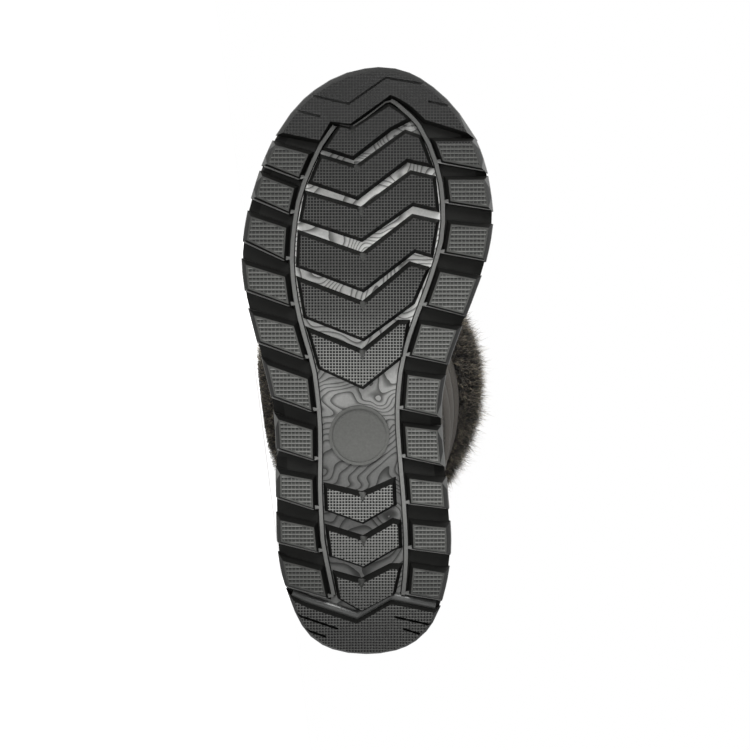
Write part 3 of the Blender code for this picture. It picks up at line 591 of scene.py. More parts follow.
soleFinish = {
    "bevel": 0.00032,
    "sharpAngle": 30.0,
    "flatAngle": 0.3,
    "toeBlock": 0.868,
    "heelBlock": 0.100,
    "bossX": 0.055 * shoe["ballHalf"],
    "bossY": 0.383 * shoe["length"],
    "bossRadius": 0.0148,
    "notchHalf": 0.0019,
    "notchLength": 0.0031,
    "frameWidth": 0.0008,
    "downward": -0.93,
    "topDepth": 0.0012,          # the lug tops end at this depth
    "lowDepths": (0.0030, 0.0085),
    "bossDepth": 0.0048,
    "railDepths": (0.0012, 0.0035),
    "notchDepths": (0.0004, 0.0047),
    "notchShade": 0.45,
    "wallDepth": 0.0088,
    "edgeBand": 0.0015,
    "railHalf": 0.0012,
    "railReach": 0.0008,
    "channel": (0.115, 0.94),     # stations between which the rails run
    "railEnds": (0.11, 0.94),
}

# station and offset of the vee in the front edge of each chevron lug
veeTable = ((0.895, -0.103), (0.830, -0.070), (0.761, -0.034), (0.685, -0.023), (0.604, -0.021),
            (0.523, -0.027), (0.281, -0.028), (0.205, -0.020), (0.131, -0.036))


def frameSideLugs(shape):
    # insets the flat top of each side lug, so that its texture stops short of the edges
    layer = shape.faces.layers.int.new("frame")
    tops = []
    for face in shape.faces:
        centre = standUp(np.array(face.calc_center_median())[None])[0]
        facing = np.array(face.normal) @ turn
        station = centre[1] / shoe["length"]
        side = 1 if centre[0] > 0 else -1
        depth = abs(centre[2] - float(treadRise(station)))
        flat = facing[2] < soleFinish["downward"] and depth < soleFinish["topDepth"]
        rail = float(railOffset(np.clip(station, *soleFinish["railEnds"]), side))
        outside = abs(centre[0]) > rail - soleFinish["railHalf"]
        if flat and outside and soleFinish["heelBlock"] < station < soleFinish["toeBlock"]:
            tops.append(face)
    width = soleFinish["frameWidth"]
    result = bmesh.ops.inset_region(shape, faces=tops, thickness=width, use_even_offset=True)
    for face in result["faces"]:
        face[layer] = 1


def finishSole():
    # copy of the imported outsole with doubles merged, softened edges and a zone on every face
    s = soleFinish
    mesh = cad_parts["outsole"].data.copy()
    mesh.materials.clear()
    for material in (soleRubber, grooveRubberPaintedShade):
        mesh.materials.append(material)
    shape = bmesh.new()
    shape.from_mesh(mesh)
    bmesh.ops.remove_doubles(shape, verts=shape.verts, dist=1e-6)
    flatAngle, sharpAngle = math.radians(s["flatAngle"]), math.radians(s["sharpAngle"])
    bmesh.ops.dissolve_limit(shape, angle_limit=flatAngle, verts=shape.verts, edges=shape.edges)
    frameSideLugs(shape)
    markEdges(shape, sharpAngle)
    shape.to_mesh(mesh)
    shape.free()
    count = len(mesh.polygons)
    framed = np.empty(count, dtype=np.int32)
    mesh.attributes["frame"].data.foreach_get("value", framed)
    centre, normal = np.empty((2, count * 3))
    mesh.polygons.foreach_get("center", centre)
    mesh.polygons.foreach_get("normal", normal)
    centre = standUp(centre.reshape(-1, 3))
    normal = normal.reshape(-1, 3) @ turn
    station = np.clip(centre[:, 1] / shoe["length"], 0, 1)
    depth = centre[:, 2] - treadRise(station)
    lateral = centre[:, 0] > 0
    rail = np.where(lateral, railOffset(station, 1), railOffset(station, -1))
    edge = np.where(lateral, halfWidth(station, 1), halfWidth(station, -1))
    away = np.abs(centre[:, 0])
    down = normal[:, 2] < s["downward"]
    top = down & (depth < s["topDepth"])
    ends = (station > s["toeBlock"]) | (station < s["heelBlock"])
    inside = (away < rail - s["railHalf"]) | ends
    low = down & between(depth, *s["lowDepths"])
    middle = (away < rail + s["railReach"]) & between(station, *s["channel"])
    bossAway = np.hypot(centre[:, 0] - s["bossX"], centre[:, 1] - s["bossY"])
    boss = down & (bossAway < s["bossRadius"]) & (depth < s["bossDepth"])
    notch = np.zeros(count, dtype=bool)
    for veeStation, veeOffset in veeTable:
        acrossVee = np.abs(centre[:, 0] + veeOffset * shoe["ballHalf"]) < s["notchHalf"]
        fromVee = centre[:, 1] - veeStation * shoe["length"]
        notch |= acrossVee & between(fromVee, -s["notchLength"], s["notchHalf"])
    notch &= between(depth, *s["notchDepths"])
    railTop = down & between(depth, *s["railDepths"]) & (station > s["heelBlock"])
    zones = {
        "waffle": top & inside,
        "grid": top & ~inside & (framed == 0),
        "level": low & middle & ~boss & ~notch,
        "boss": boss,
        "groove": low & ~middle,
        "rail": np.minimum((railTop & ~boss & ~notch) + notch * s["notchShade"], 1.0),
    }
    for name, mask in zones.items():
        addValues(mesh, name, "FACE", mask)
    plain = (((depth > s["wallDepth"]) | (edge - away < s["edgeBand"])) & ~top) | (framed == 1)
    treadTop = sum(zones.values()) + plain - zones["groove"] > 0
    # faces that are not tread tops take the groove rubber and its painted shade
    mesh.polygons.foreach_set("material_index", (~treadTop).astype(np.int32))
    mesh.polygons.foreach_set("use_smooth", np.full(count, True))
    piece = inScene("sole", mesh)
    bevel = piece.modifiers.new("softEdges", "BEVEL")
    bevel.width = s["bevel"]
    bevel.segments = 2
    bevel.limit_method = "ANGLE"
    bevel.angle_limit = sharpAngle
    bevel.use_clamp_overlap = True
    bevel.harden_normals = False
    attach(piece, "root")
    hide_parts("outsole")


finishSole()
print("outsole finished")

# Fine tread: a ridge along each outer lug and a bead in front of the heel

ridgeShape = {
    "radius": 0.00040,
    "setback": 0.00105,
    "level": 0.0026,
    "channel": 0.0036,
    "edgeInset": 0.0016,
    "webSetback": 0.0003,
}
beadShape = {
    "half": 0.0023,
    "height": 0.0022,
    "setback": 0.0029,
    "edgeInset": 0.0030,
}

# stations of the back edge of each outer lug at its inner and its outer end
lateralBacks = ((0.817, 0.838), (0.760, 0.784), (0.683, 0.713), (0.607, 0.632), (0.518, 0.545),
                (0.429, 0.453), (0.345, 0.363), (0.262, 0.281), (0.188, 0.204), (0.109, 0.129))
medialBacks = ((0.843, 0.831), (0.777, 0.767), (0.694, 0.683), (0.606, 0.591), (0.522, 0.510),
               (0.432, 0.420), (0.349, 0.337), (0.271, 0.264), (0.193, 0.185), (0.114, 0.105))

# front edge of the heel block: station, offset from the middle
heelFront = ((0.102, -0.585), (0.091, -0.481), (0.062, -0.073), (0.096, 0.199), (0.080, 0.568))


def sweep(path, level, profile):
    # closed profile of (across, up) points carried along a flat path with mitred corners
    path = np.asarray(path, dtype=float)
    ahead = unit(np.diff(path, axis=0))
    before = np.concatenate([ahead[:1], ahead])
    after = np.concatenate([ahead, ahead[-1:]])
    along = unit(before + after)
    stretch = 1 / np.sum(along * after, axis=1)
    across = np.stack([along[:, 1], -along[:, 0]], axis=1) * stretch[:, None]
    flat = path[:, None] + across[:, None] * profile[None, :, :1]
    height = np.asarray(level)[:, None] - profile[None, :, 1]
    verts = np.concatenate([flat, height[:, :, None]], axis=2).reshape(-1, 3)
    faces = gridFaces(len(path), len(profile), False).tolist()
    faces.append(list(range(len(profile))))
    faces.append([(len(path) - 1) * len(profile) + j for j in range(len(profile))])
    return verts, faces


def sweptPiece(name, sweeps, material):
    verts = []
    faces = []
    for points, polygons in sweeps:
        faces += [[v + len(verts) for v in polygon] for polygon in polygons]
        verts += points.tolist()
    piece = newPiece(name, verts, faces, material)
    turnOutward(piece.data, sharp=1.0)


def ringProfile(half, height, sides):
    turns = np.linspace(0, 2 * math.pi, sides, endpoint=False)
    return np.stack([half * np.cos(turns), height * np.sin(turns)], axis=1)


def makeRidges():
    s = ridgeShape
    sweeps = []
    for side, rows in ((1, lateralBacks), (-1, medialBacks)):
        for inner, outer in rows:
            near = float(railOffset(inner, side))
            first = np.array([side * near, inner * shoe["length"] - s["webSetback"]])
            start = np.array([side * (near + s["channel"]), inner * shoe["length"]])
            reach = float(halfWidth(outer, side)) - s["edgeInset"]
            end = np.array([side * reach, outer * shoe["length"]])
            run = unit(end - start)
            back = np.array([run[1], -run[0]]) * side
            if back[1] > 0:
                back = -back
            shares = np.linspace(0, 1, 5)[:, None]
            path = np.concatenate([[first], start + (end - start) * shares + back * s["setback"]])
            level = treadRise(path[:, 1] / shoe["length"]) + shoe["lugHeight"] - s["level"] + s["radius"]
            sweeps.append(sweep(path, level, ringProfile(s["radius"], s["radius"], 8)))
    sweptPiece("lugRidges", sweeps, ridgeRubberHighlight)


def makeBead():
    s = beadShape
    path = np.array([(-offset * shoe["ballHalf"], station * shoe["length"]) for station, offset in heelFront])
    path[:, 1] += s["setback"]
    for end, side in ((0, 1), (-1, -1)):
        station = path[end, 1] / shoe["length"]
        path[end, 0] = side * (float(halfWidth(station, side)) - s["edgeInset"])
    level = treadRise(path[:, 1] / shoe["length"]) + shoe["lugHeight"]
    sweptPiece("heelBead", [sweep(path, level, ringProfile(s["half"], s["height"], 20))], beadRubber)


makeRidges()
makeBead()
print("ridges and bead made")


# Upper

upperShape = {
    "around": 240,
    "perRow": 7,
    "shellWall": 0.0011,
    "liningWall": 0.0011,
    "liningGap": 0.00005,
    "seatGap": 0.0003,
    "rimInset": 0.0058,
    "rimHeight": 0.0040,
    "featherHeight": 0.0095,
    "featherBulge": 0.0008,
    "ankleHalf": 0.0430,
    "shaftHalf": 0.0527,
    "egg": 0.0040,
    "ankleShift": -0.0010,
    "shaftShift": 0.0005,
    "quiltDepth": 0.0022,
    "quilts": 3,
    "puckerRun": 0.16,
    "puckerHeight": 0.00022,
    "slackHeight": 0.0007,
    "seamRun": 0.09,
    "cuffDrop": 0.0460,
    "lowShaft": (0.040, 0.545, 0.980, 1.075),
    "highShaft": (0.180, 0.577, 0.988, 1.000),
}

# soft creases: height and station of the middle, tilt, half length, half width, depth
creaseTable = (
    (0.098, 0.60, -0.55, 0.050, 0.0060, 0.0024),
    (0.086, 0.66, -0.60, 0.046, 0.0050, 0.0019),
    (0.112, 0.50, -0.30, 0.044, 0.0055, 0.0019),
    (0.106, 0.14, 0.18, 0.040, 0.0050, 0.0016),
    (0.092, 0.16, 0.25, 0.034, 0.0045, 0.0013),
    (0.062, 0.80, -0.75, 0.034, 0.0045, 0.0013),
)


def shaftRows():
    # ring rows of the upper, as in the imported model: foot rows from the table, then the shaft
    s = upperShape
    count = s["around"]
    half = count // 2
    share = (1 - np.cos(np.linspace(0, math.pi, half + 1))) / 2
    share = np.concatenate([share, share[half - 1:0:-1]])
    side = np.array([1] * (half + 1) + [-1] * (half - 1))
    foot = outlineRing(s["rimInset"], count)
    seat = seatHeight(np.clip(foot[:, 1] / shoe["length"], 0, 1))
    bulged = outlineRing(s["rimInset"] - s["featherBulge"], count)
    rows = [
        np.column_stack([foot, seat + s["seatGap"]]),
        np.column_stack([foot, seat + s["rimHeight"] + s["seatGap"]]),
        np.column_stack([bulged, seat + s["featherHeight"]]),
    ]
    outline = np.where(side > 0, halfWidth(share, 1), -halfWidth(share, -1)) / shoe["ballHalf"]
    oval = side * np.sqrt(np.clip(1 - (2 * share - 1) ** 2, 0, 1))
    forward = 2 * share - 1
    ankle = oval * (s["ankleHalf"] + s["egg"] * forward) - s["ankleShift"]
    for back, front, backZ, frontZ, heel, waist, ball, rounded in upperTable:
        scale = smoothCurve((0.0, 0.15, 0.45, 0.72, 1.0), (heel, heel, waist, ball, ball), share)
        across = (1 - rounded) * outline * scale * shoe["ballHalf"] + rounded * ankle
        z = (backZ + (frontZ - backZ) * share) * shoe["instepHeight"]
        rows.append(np.column_stack([across, (back + (front - back) * share) * shoe["length"], z]))
    footRows = len(rows)
    low = np.array(s["lowShaft"]) * (1, 1, shoe["instepHeight"], shoe["instepHeight"])
    high = np.array(s["highShaft"]) * (1, 1, shoe["collarHeight"], shoe["collarHeight"])
    puffed = (high[2] - low[2] - s["cuffDrop"]) / (high[2] - low[2])
    steps = [puffed * k / s["quilts"] for k in range(s["quilts"] + 1)] + [1.0]
    for t in steps:
        back, front, backZ, frontZ = low + (high - low) * t
        y = ((back + front) / 2 + forward * (front - back) / 2) * shoe["length"]
        flare = min(1.0, t / puffed)
        reach = s["ankleHalf"] + (s["shaftHalf"] - s["ankleHalf"]) * flare + s["egg"] * forward
        x = oval * reach - s["ankleShift"] - (s["shaftShift"] - s["ankleShift"]) * flare
        rows.append(np.column_stack([x, y, backZ + (frontZ - backZ) * share]))
    return np.array(rows), footRows


def fineUpper():
    # the rows joined by a smooth curve from row to row, with quilts, puckers and creases on top
    s = upperShape
    rows, firstShaft = shaftRows()
    extra = s["perRow"]
    position = [0.0]
    for k in range(1, len(rows)):
        parts = extra * 4 if k > firstShaft else extra
        if k <= 2:
            parts = 3
        position += [k - 1 + (i + 1) / parts for i in range(parts)]
    position = np.array(position)
    flat = rows.reshape(len(rows), -1)
    distance = np.concatenate([[0], np.cumsum(np.linalg.norm(np.diff(rows, axis=0), axis=2).mean(axis=1))])
    slope = np.gradient(flat, distance, axis=0)
    slope[0] = (flat[1] - flat[0]) / (distance[1] - distance[0])
    k = np.clip(np.searchsorted(np.arange(len(rows)), position, side="right") - 1, 0, len(rows) - 2)
    t = (position - k)[:, None]
    step = (distance[k + 1] - distance[k])[:, None]
    fine = cubicPiece(t, step, flat[k], flat[k + 1], slope[k], slope[k + 1])
    grid = fine.reshape(len(position), -1, 3)
    normal = gridNormals(grid)
    normal[:7, :, 2] = 0
    normal = unit(normal)
    around = np.linspace(0, 2 * math.pi, s["around"], endpoint=False)[None, :]
    quilt = np.clip(position - firstShaft, 0, s["quilts"])[:, None]
    inQuilt = ((position >= firstShaft) & (position <= firstShaft + s["quilts"]))[:, None]
    swell = np.abs(np.sin(math.pi * quilt)) ** 0.72 * s["quiltDepth"] * inQuilt
    fromSeam = quilt - np.round(quilt)
    nearSeam = np.exp(-(fromSeam / s["puckerRun"]) ** 2) * inQuilt
    ripple = np.sin(46 * around + 2.2 * np.sin(3 * around) + 5 * np.round(quilt))
    pucker = nearSeam * (s["puckerHeight"] * ripple)
    slack = s["slackHeight"] * np.sin(3 * around + 1.1 + 1.7 * np.floor(quilt))
    slack = slack * np.abs(np.sin(math.pi * quilt)) * inQuilt
    lift = swell + pucker + slack
    height, along = grid[:, :, 2], grid[:, :, 1] / shoe["length"]
    for z, station, tilt, halfLength, halfWide, deep in creaseTable:
        u = (along - station) * shoe["length"]
        v = height - z
        run = u * math.cos(tilt) + v * math.sin(tilt)
        cross = v * math.cos(tilt) - u * math.sin(tilt) + 0.12 * run ** 2 / halfLength
        fold = np.exp(-(run / halfLength) ** 2 * 2.2) * (
            -np.exp(-(cross / halfWide) ** 2) + 0.55 * np.exp(-((cross - 1.7 * halfWide) / halfWide) ** 2))
        lift = lift + deep * fold
    grid = grid + normal * np.asarray(lift)[:, :, None]
    seams = np.exp(-(fromSeam / s["seamRun"]) ** 2) * inQuilt * np.ones_like(lift)
    return grid, normal, position, firstShaft, seams


upperGrid, upperNormal, upperPosition, firstShaft, upperSeams = fineUpper()


def clothUv(piece, grid):
    # UV in metres along and around the wall, so that the weave keeps its size
    rows, columns = grid.shape[:2]
    rises = np.linalg.norm(np.diff(grid, axis=0), axis=2)
    up = np.concatenate([np.zeros((1, columns)), np.cumsum(rises, axis=0)])
    steps = np.linalg.norm(np.roll(grid, -1, axis=1) - grid, axis=2)
    side = np.concatenate([np.zeros((rows, 1)), np.cumsum(steps, axis=1)], axis=1)
    mesh = piece.data
    corner = np.empty(len(mesh.loops), dtype=np.int64)
    mesh.loops.foreach_get("vertex_index", corner)
    row = corner // columns % (2 * rows)
    inner = row >= rows
    row = np.where(inner, 2 * rows - 1 - row, row)
    column = corner % columns
    first = column.reshape(-1, 4)
    wraps = (first.max(axis=1) == columns - 1) & (first.min(axis=1) == 0)
    column = np.where(np.repeat(wraps, 4) & (column == 0), columns, column)
    uv = np.stack([side[row, column], up[row, column % columns]], axis=1)
    layer = mesh.uv_layers.new(name="cloth")
    layer.data.foreach_set("uv", uv.reshape(-1))


def wallPiece(name, outside, normal, start, thick, material):
    # closed wall between the surface moved in by start and by start + thick
    outer = outside - normal * start
    inner = outside - normal * (start + thick)
    verts = np.concatenate([outer.reshape(-1, 3), inner[::-1].reshape(-1, 3)])
    rows, columns = outside.shape[:2]
    return newPiece(name, verts, gridFaces(2 * rows, columns, True), material)


def makeUpper():
    s = upperShape
    shell = wallPiece("shaftShell", upperGrid, upperNormal, 0.0, s["shellWall"], shaftFabric)
    clothUv(shell, upperGrid)
    both = np.concatenate([upperSeams.reshape(-1), np.zeros(upperSeams.size)])
    addValues(shell.data, "seam", "POINT", both)
    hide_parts("upper")
    rows = np.concatenate([np.arange(2, len(upperGrid) - 1, 2), [len(upperGrid) - 1]])
    lining = wallPiece("fleeceLining", upperGrid[rows][:, ::2], upperNormal[rows][:, ::2],
                       s["shellWall"] + s["liningGap"], s["liningWall"], fleece)


makeUpper()
print("upper made")


# Insole

insoleShape = {
    "inset": 0.0087,
    "thickness": 0.0042,
    "edge": 0.0012,
    "crown": 0.0006,
    "crownRun": 0.02,
    "count": 160,
    "rings": 26,
}


def makeInsole():
    # closed pad: rings shrink from the edge to the middle line over the top and underneath
    s = insoleShape
    count = s["count"]
    rim = outlineRing(s["inset"], count)
    pair = (count - np.arange(count)) % count
    spine = (rim + rim[pair]) / 2
    shares = np.linspace(0, 1, s["rings"])
    rows = []
    for sign, order in ((1, shares[::-1]), (-1, shares)):
        for share in order:
            flat = rim * (1 - share) + spine * share
            reach = np.linalg.norm(rim - flat, axis=1)
            seat = seatHeight(np.clip(flat[:, 1] / shoe["length"], 0, 1)) + upperShape["seatGap"]
            round_ = np.sqrt(np.clip(1 - (1 - np.clip(reach / s["edge"], 0, 1)) ** 2, 0, 1))
            if sign > 0:
                crown = s["crown"] * softStep(0.0, s["crownRun"], reach)
                z = seat + s["thickness"] / 2 + round_ * s["thickness"] / 2 - s["crown"] + crown
            else:
                z = seat + s["thickness"] / 2 - round_ * s["thickness"] / 2
            rows.append(np.column_stack([flat, z]))
    verts = np.concatenate(rows[::-1])
    piece = newPiece("insolePad", verts, gridFaces(len(rows), count, False), felt)
    turnOutward(piece.data, merge=True)
    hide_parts("insole")


makeInsole()
print("insole made")


# Fur cuff

cuffShape = {
    "depth": 0.0100,
    "press": 0.0003,
    "lip": 0.0085,
    "around": 200,
    "along": 56,
}

# outline of the cuff's section: away from the shaft as a share of depth, height as a share of
# lip over the collar or of drop under it
cuffTable = np.array((
    (-0.05, -1.00), (-0.03, -0.50), (-0.02, 0.00), (-0.30, 0.30), (-0.22, 0.75), (0.12, 1.00),
    (0.55, 0.86), (0.88, 0.25), (1.00, -0.22), (1.00, -0.55), (0.86, -0.82), (0.50, -1.00), (0.15, -1.05),
))


def cuffSurface(around, along):
    # point on the cuff: around 0 to 1 round the collar, along 0 to 1 round the section
    s = cuffShape
    rim = upperGrid[-1]
    inCuff = np.searchsorted(upperPosition, firstShaft + upperShape["quilts"])
    foot = upperGrid[inCuff]
    columns = rim.shape[0]
    spot = (around % 1.0) * columns
    low = np.floor(spot).astype(int) % columns
    high = (low + 1) % columns
    t = (spot - np.floor(spot))[:, None]
    top = rim[low] * (1 - t) + rim[high] * t
    below = foot[low] * (1 - t) + foot[high] * t
    tangent = np.roll(rim[:, :2], -3, axis=0) - np.roll(rim[:, :2], 3, axis=0)
    outward = unit(np.stack([tangent[:, 1], -tangent[:, 0]], axis=1))
    out = unit(outward[low] * (1 - t) + outward[high] * t)
    closed = np.concatenate([cuffTable, cuffTable[:1]])
    knots = np.linspace(0, 1, len(closed))
    wrapped = np.concatenate([knots[:-1] - 1, knots, knots[1:] + 1])
    away, rise = (smoothCurve(wrapped, np.concatenate([column[:-1], column, column[1:]]), along % 1.0)
                  for column in closed.T)
    thick = s["depth"] - s["press"] * np.clip(out[:, 0], 0, 1) ** 2
    point = top + (below - top) * np.clip(-rise, 0, None)[:, None]
    point[:, :2] += out * (away * np.where(away > 0, thick, s["depth"]))[:, None]
    point[:, 2] += np.clip(rise, 0, None) * s["lip"]
    return point, out


def makeCuffSkin():
    s = cuffShape
    a, b = np.meshgrid(np.arange(s["around"]) / s["around"], np.arange(s["along"]) / s["along"])
    points, out = cuffSurface(a.reshape(-1), b.reshape(-1))
    piece = newPiece("furSkin", points, gridFaces(s["along"], s["around"], True), furSkin)
    turnOutward(piece.data)
    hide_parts("fur_cuff")


hairShape = {
    "rootDepth": 0.0006,
    "droop": 0.22,
    "floorGap": 0.0004,       # hairs over the floor are laid this high or a little higher
    "floorSpread": 0.0016,
    "probe": 0.004,           # step over the cuff's surface from which its normal is read
    "tapers": (1, 0.9, 0.6),
    "levels": (0.0, 0.4, 0.75, 1.0),
}


def makeFur(name, material, count, length, width, lean, spread, seed, span):
    # tapered blades rooted on the cuff: each leaves along the normal, bends with the nap towards
    # the sole and a little to one side, and narrows to a point; those over the floor lie flat
    s = hairShape
    rng = np.random.default_rng(seed)
    around = rng.random(count)
    along = span[0] + (span[1] - span[0]) * rng.random(count)
    root, out = cuffSurface(around, along)
    ahead, _ = cuffSurface(around + s["probe"], along)
    above, _ = cuffSurface(around, along + s["probe"])
    normal = unit(np.cross(ahead - root, above - root))
    inwards = np.sum(normal[:, :2] * out, axis=1) < 0
    midSection = (along > 0.45) & (along < 0.85)
    if np.mean(inwards[midSection]) > 0.5:
        normal = -normal
    sideways = np.column_stack([-out[:, 1], out[:, 0], np.zeros(count)])
    clump = 0.5 * np.sin(around * 2 * math.pi * 23 + 3 * np.sin(along * 31))
    clump = clump + 0.3 * np.sin(around * 2 * math.pi * 41 + along * 57)
    nap = np.array([0.0, 0.0, -1.0])[None, :] * lean + sideways * (clump * 0.35)[:, None]
    nap = nap + rng.normal(0, spread, (count, 3))
    size = length * (0.80 + 0.25 * rng.random(count)) * (1 + 0.10 * clump)
    middle = []
    for t in s["levels"]:
        rise = normal * (t - s["droop"] * t * t) + nap * t * t
        middle.append(root - normal * s["rootDepth"] + rise * size[:, None])
    across = unit(np.cross(normal + nap * 0.5, rng.normal(0, 1, (count, 3))))
    wide = width * (0.7 + 0.6 * rng.random(count))[:, None] / 2
    edges = [middle[k] + sign * across * wide * taper
             for k, taper in enumerate(s["tapers"]) for sign in (-1, 1)]
    verts = np.stack([*edges, middle[3]], axis=1)
    laid = layDown(verts.reshape(-1, 3))
    floor = s["floorGap"] + s["floorSpread"] * rng.random(count).repeat(7)
    under = laid[:, 2] < floor
    laid[under, 2] = floor[under]
    base = np.arange(count)[:, None, None] * 7
    pattern = np.array([[0, 1, 3], [0, 3, 2], [2, 3, 5], [2, 5, 4], [4, 5, 6]])[None]
    faces = (base + pattern).reshape(-1, 3)
    mesh = bpy.data.meshes.new(name)
    mesh.vertices.add(len(laid))
    mesh.vertices.foreach_set("co", laid.reshape(-1))
    mesh.loops.add(faces.size)
    mesh.loops.foreach_set("vertex_index", faces.reshape(-1).astype(np.int32))
    mesh.polygons.add(len(faces))
    mesh.polygons.foreach_set("loop_start", np.arange(0, faces.size, 3, dtype=np.int32))
    mesh.update(calc_edges=True)
    mesh.polygons.foreach_set("use_smooth", np.full(len(faces), True))
    addValues(mesh, "along", "POINT", np.tile(np.repeat(s["levels"], 2)[:7], count))
    patch = np.sin(around * 610 + 2.1 * np.sin(along * 140))
    patch = patch * np.sin(along * 230 + 1.7 * np.sin(around * 290))
    shade = np.clip(0.34 + 0.14 * rng.normal(0, 1, count) + 0.12 * clump + 0.70 * patch, 0, 1)
    addValues(mesh, "strand", "POINT", shade.repeat(7))
    mesh.materials.append(material)
    addPiece(name, mesh)


furLayers = {
    "underFurA": dict(material=darkFur, count=35500, length=0.0080, width=0.00036, lean=0.08, spread=0.16,
                      seed=11, span=(0.22, 1.02)),
    "underFurB": dict(material=darkFur, count=35000, length=0.0088, width=0.00030, lean=0.12, spread=0.20,
                      seed=12, span=(0.22, 1.02)),
    "guardFurA": dict(material=paleFur, count=34000, length=0.0106, width=0.00021, lean=0.12, spread=0.20,
                      seed=13, span=(0.24, 1.0)),
    "guardFurB": dict(material=paleFur, count=31500, length=0.0118, width=0.00018, lean=0.12, spread=0.22,
                      seed=14, span=(0.24, 1.0)),
}
makeCuffSkin()
for layerName, layer in furLayers.items():
    makeFur(layerName, **layer)
print("fur made")


# Stitches

stitchShape = {"pitch": 0.0034, "length": 0.0023, "radius": 0.00028, "sides": 6, "lift": 0.35}


def runStitches(name, path, normals):
    # short rounded bars laid along a closed path, each half sunk into the cloth
    s = stitchShape
    closed = np.concatenate([path, path[:1]])
    distance = np.concatenate([[0], np.cumsum(np.linalg.norm(np.diff(closed, axis=0), axis=1))])
    count = int(distance[-1] / s["pitch"])
    middle = np.arange(count) * distance[-1] / count
    bars = []
    lift = np.concatenate([normals, normals[:1]])
    profile = np.array([(-0.5, 0.15), (-0.42, 0.8), (-0.2, 1.0), (0.2, 1.0), (0.42, 0.8), (0.5, 0.15)])
    turns = np.linspace(0, 2 * math.pi, s["sides"], endpoint=False)

    def valueAt(table, at):
        return np.stack([np.interp(at, distance, column) for column in table.T], axis=1)

    for share, wide in profile:
        at = np.clip(middle + share * s["length"], 0, distance[-1])
        centre = valueAt(closed, at)
        out = unit(valueAt(lift, at))
        before, after = (valueAt(closed, np.clip(at + step, 0, distance[-1])) for step in (-0.0005, 0.0005))
        ahead = unit(after - before)
        beside = np.cross(ahead, out)
        centre = centre + out * s["radius"] * s["lift"]
        ring = (centre[:, None] + s["radius"] * wide * (
            out[:, None] * np.cos(turns)[None, :, None] + beside[:, None] * np.sin(turns)[None, :, None]))
        bars.append(ring)
    verts = np.stack(bars, axis=1).reshape(-1, 3)
    per = len(profile) * s["sides"]
    bar = gridFaces(len(profile), s["sides"], False)
    faces = (np.arange(count)[:, None, None] * per + bar[None]).reshape(-1, 4).tolist()
    starts = np.arange(count)[:, None] * per
    faces += (starts + np.arange(s["sides"])[::-1][None]).tolist()
    faces += (starts + per - s["sides"] + np.arange(s["sides"])[None]).tolist()
    piece = newPiece(name, verts, faces, stitchThread)
    turnOutward(piece.data)


for seam in range(upperShape["quilts"]):
    row = int(np.searchsorted(upperPosition, firstShaft + seam - 1e-6))
    runStitches("quiltStitches%d" % seam, upperGrid[row], upperNormal[row])
print("stitches made")


# Floor, light and camera

studio = {
    "floorColour": (0.93, 0.93, 0.93),
    "floorGlow": 0.75,
    "floorHalf": 6.0,
    "keyPower": 26.0,
    "keyPlace": (-0.15, 1.35, -0.85),   # standing, so that it rakes over the tread from the toe
    "keySize": 0.70,
    "fillPower": 2.0,
    "fillPlace": (-1.1, -0.5, 0.9),
    "fillSize": 1.2,
    "backPower": 8.0,
    "backPlace": (1.0, 0.4, 1.3),
    "backSize": 1.2,
    "skyBehind": 1.0,
    "skyFront": 0.13,
    "skyRamp": (-0.5, 0.35),   # from the camera's side to behind the boot
}


def makeStage():
    # wide pale floor
    material, tree, shader = startMaterial("paleFloor")
    feed(tree, shader, {
        "Base Color": studio["floorColour"],
        "Roughness": 1.0,
        "Specular IOR Level": 0.0,
        "Emission Color": (1.0, 1.0, 1.0),
        "Emission Strength": studio["floorGlow"],
    })
    mesh = bpy.data.meshes.new("floor")
    corners = np.array(((-1, -1, 0), (1, -1, 0), (1, 1, 0), (-1, 1, 0))) * studio["floorHalf"]
    mesh.from_pydata(corners.tolist(), [], [(0, 1, 2, 3)])
    mesh.materials.append(material)
    floor = inScene("floor", mesh)
    floor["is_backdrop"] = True


def areaLight(name, place, aim, size, power):
    # square lamp that looks at its aim
    data = bpy.data.lights.new(name, "AREA")
    data.size = size
    data.energy = power
    lamp = inScene(name, data)
    lamp.location = place
    ahead = mathutils.Vector(aim) - mathutils.Vector(place)
    lamp.rotation_euler = ahead.to_track_quat("-Z", "Y").to_euler()


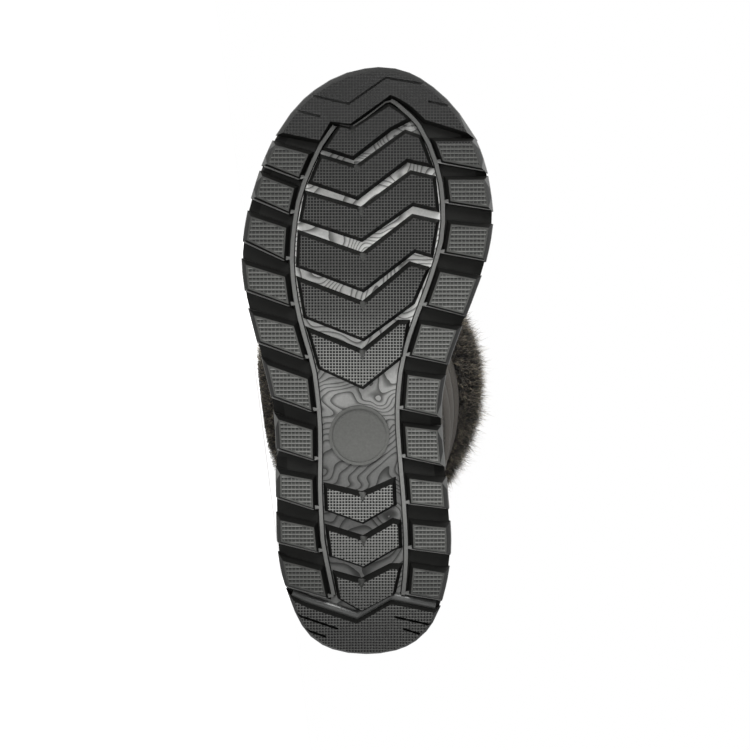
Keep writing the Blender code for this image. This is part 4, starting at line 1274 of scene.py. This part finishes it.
def makeSky():
    # white behind the boot, softer on the camera's side
    world = bpy.data.worlds.new("softStudio")
    world.use_nodes = True
    tree = world.node_tree
    where = newNode(tree, "TexCoord", {}).outputs["Generated"]
    axes = newNode(tree, "SeparateXYZ", {0: where})
    ramp = rampOf(tree, axes.outputs[0], *studio["skyRamp"])
    strength = newNode(tree, "MapRange", {
        "Value": ramp, "To Min": studio["skyFront"], "To Max": studio["skyBehind"],
    })
    background = {"Color": (1.0, 1.0, 1.0), "Strength": strength.outputs["Result"]}
    feed(tree, tree.nodes["Background"], background)
    bpy.context.scene.world = world


view = {
    "distance": 0.7917,       # from the plane of the lug tops
    "foot": (-0.0043, 0.2321),  # point of that plane straight below the camera
    "tilt": 6.7,              # degrees towards the heel
    "focal": 1674.0,          # in pixels of the 750 pixel frame
}


def makeCamera():
    eye = np.array([view["foot"][0], view["foot"][1], -view["distance"]])
    tilt = math.radians(view["tilt"])
    look = np.array([0.0, -math.sin(tilt), math.cos(tilt)]) @ turn.T
    up = np.array([0.0, math.cos(tilt), math.sin(tilt)]) @ turn.T
    right = np.cross(look, up)
    data = bpy.data.cameras.new("camera")
    data.sensor_width = 36.0
    data.lens = view["focal"] / 750.0 * 36.0
    data.clip_start = 0.01
    data.clip_end = 50.0
    camera = inScene("camera", data)
    place = mathutils.Matrix((right, up, -look)).transposed().to_4x4()
    place.translation = layDown(eye[None])[0]
    camera.matrix_world = place
    bpy.context.scene.camera = camera
    print("camera at", [round(c, 4) for c in place.translation])


makeStage()
keyPlace = tuple(layDown(np.array([studio["keyPlace"]]))[0])
areaLight("key", keyPlace, (-0.1, 0.02, 0.06), studio["keySize"], studio["keyPower"])
areaLight("fill", studio["fillPlace"], (-0.1, 0.0, 0.06), studio["fillSize"], studio["fillPower"])
areaLight("back", studio["backPlace"], (0.0, 0.0, 0.06), studio["backSize"], studio["backPower"])
makeSky()
makeCamera()
bpy.context.scene.view_settings.view_transform = "Standard"
bpy.context.scene.view_settings.look = "None"
low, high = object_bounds()
for label, box in (("cad box", (*cadLow, *cadHigh)), ("visual box", (*low, *high))):
    print(label, [round(c, 4) for c in box])
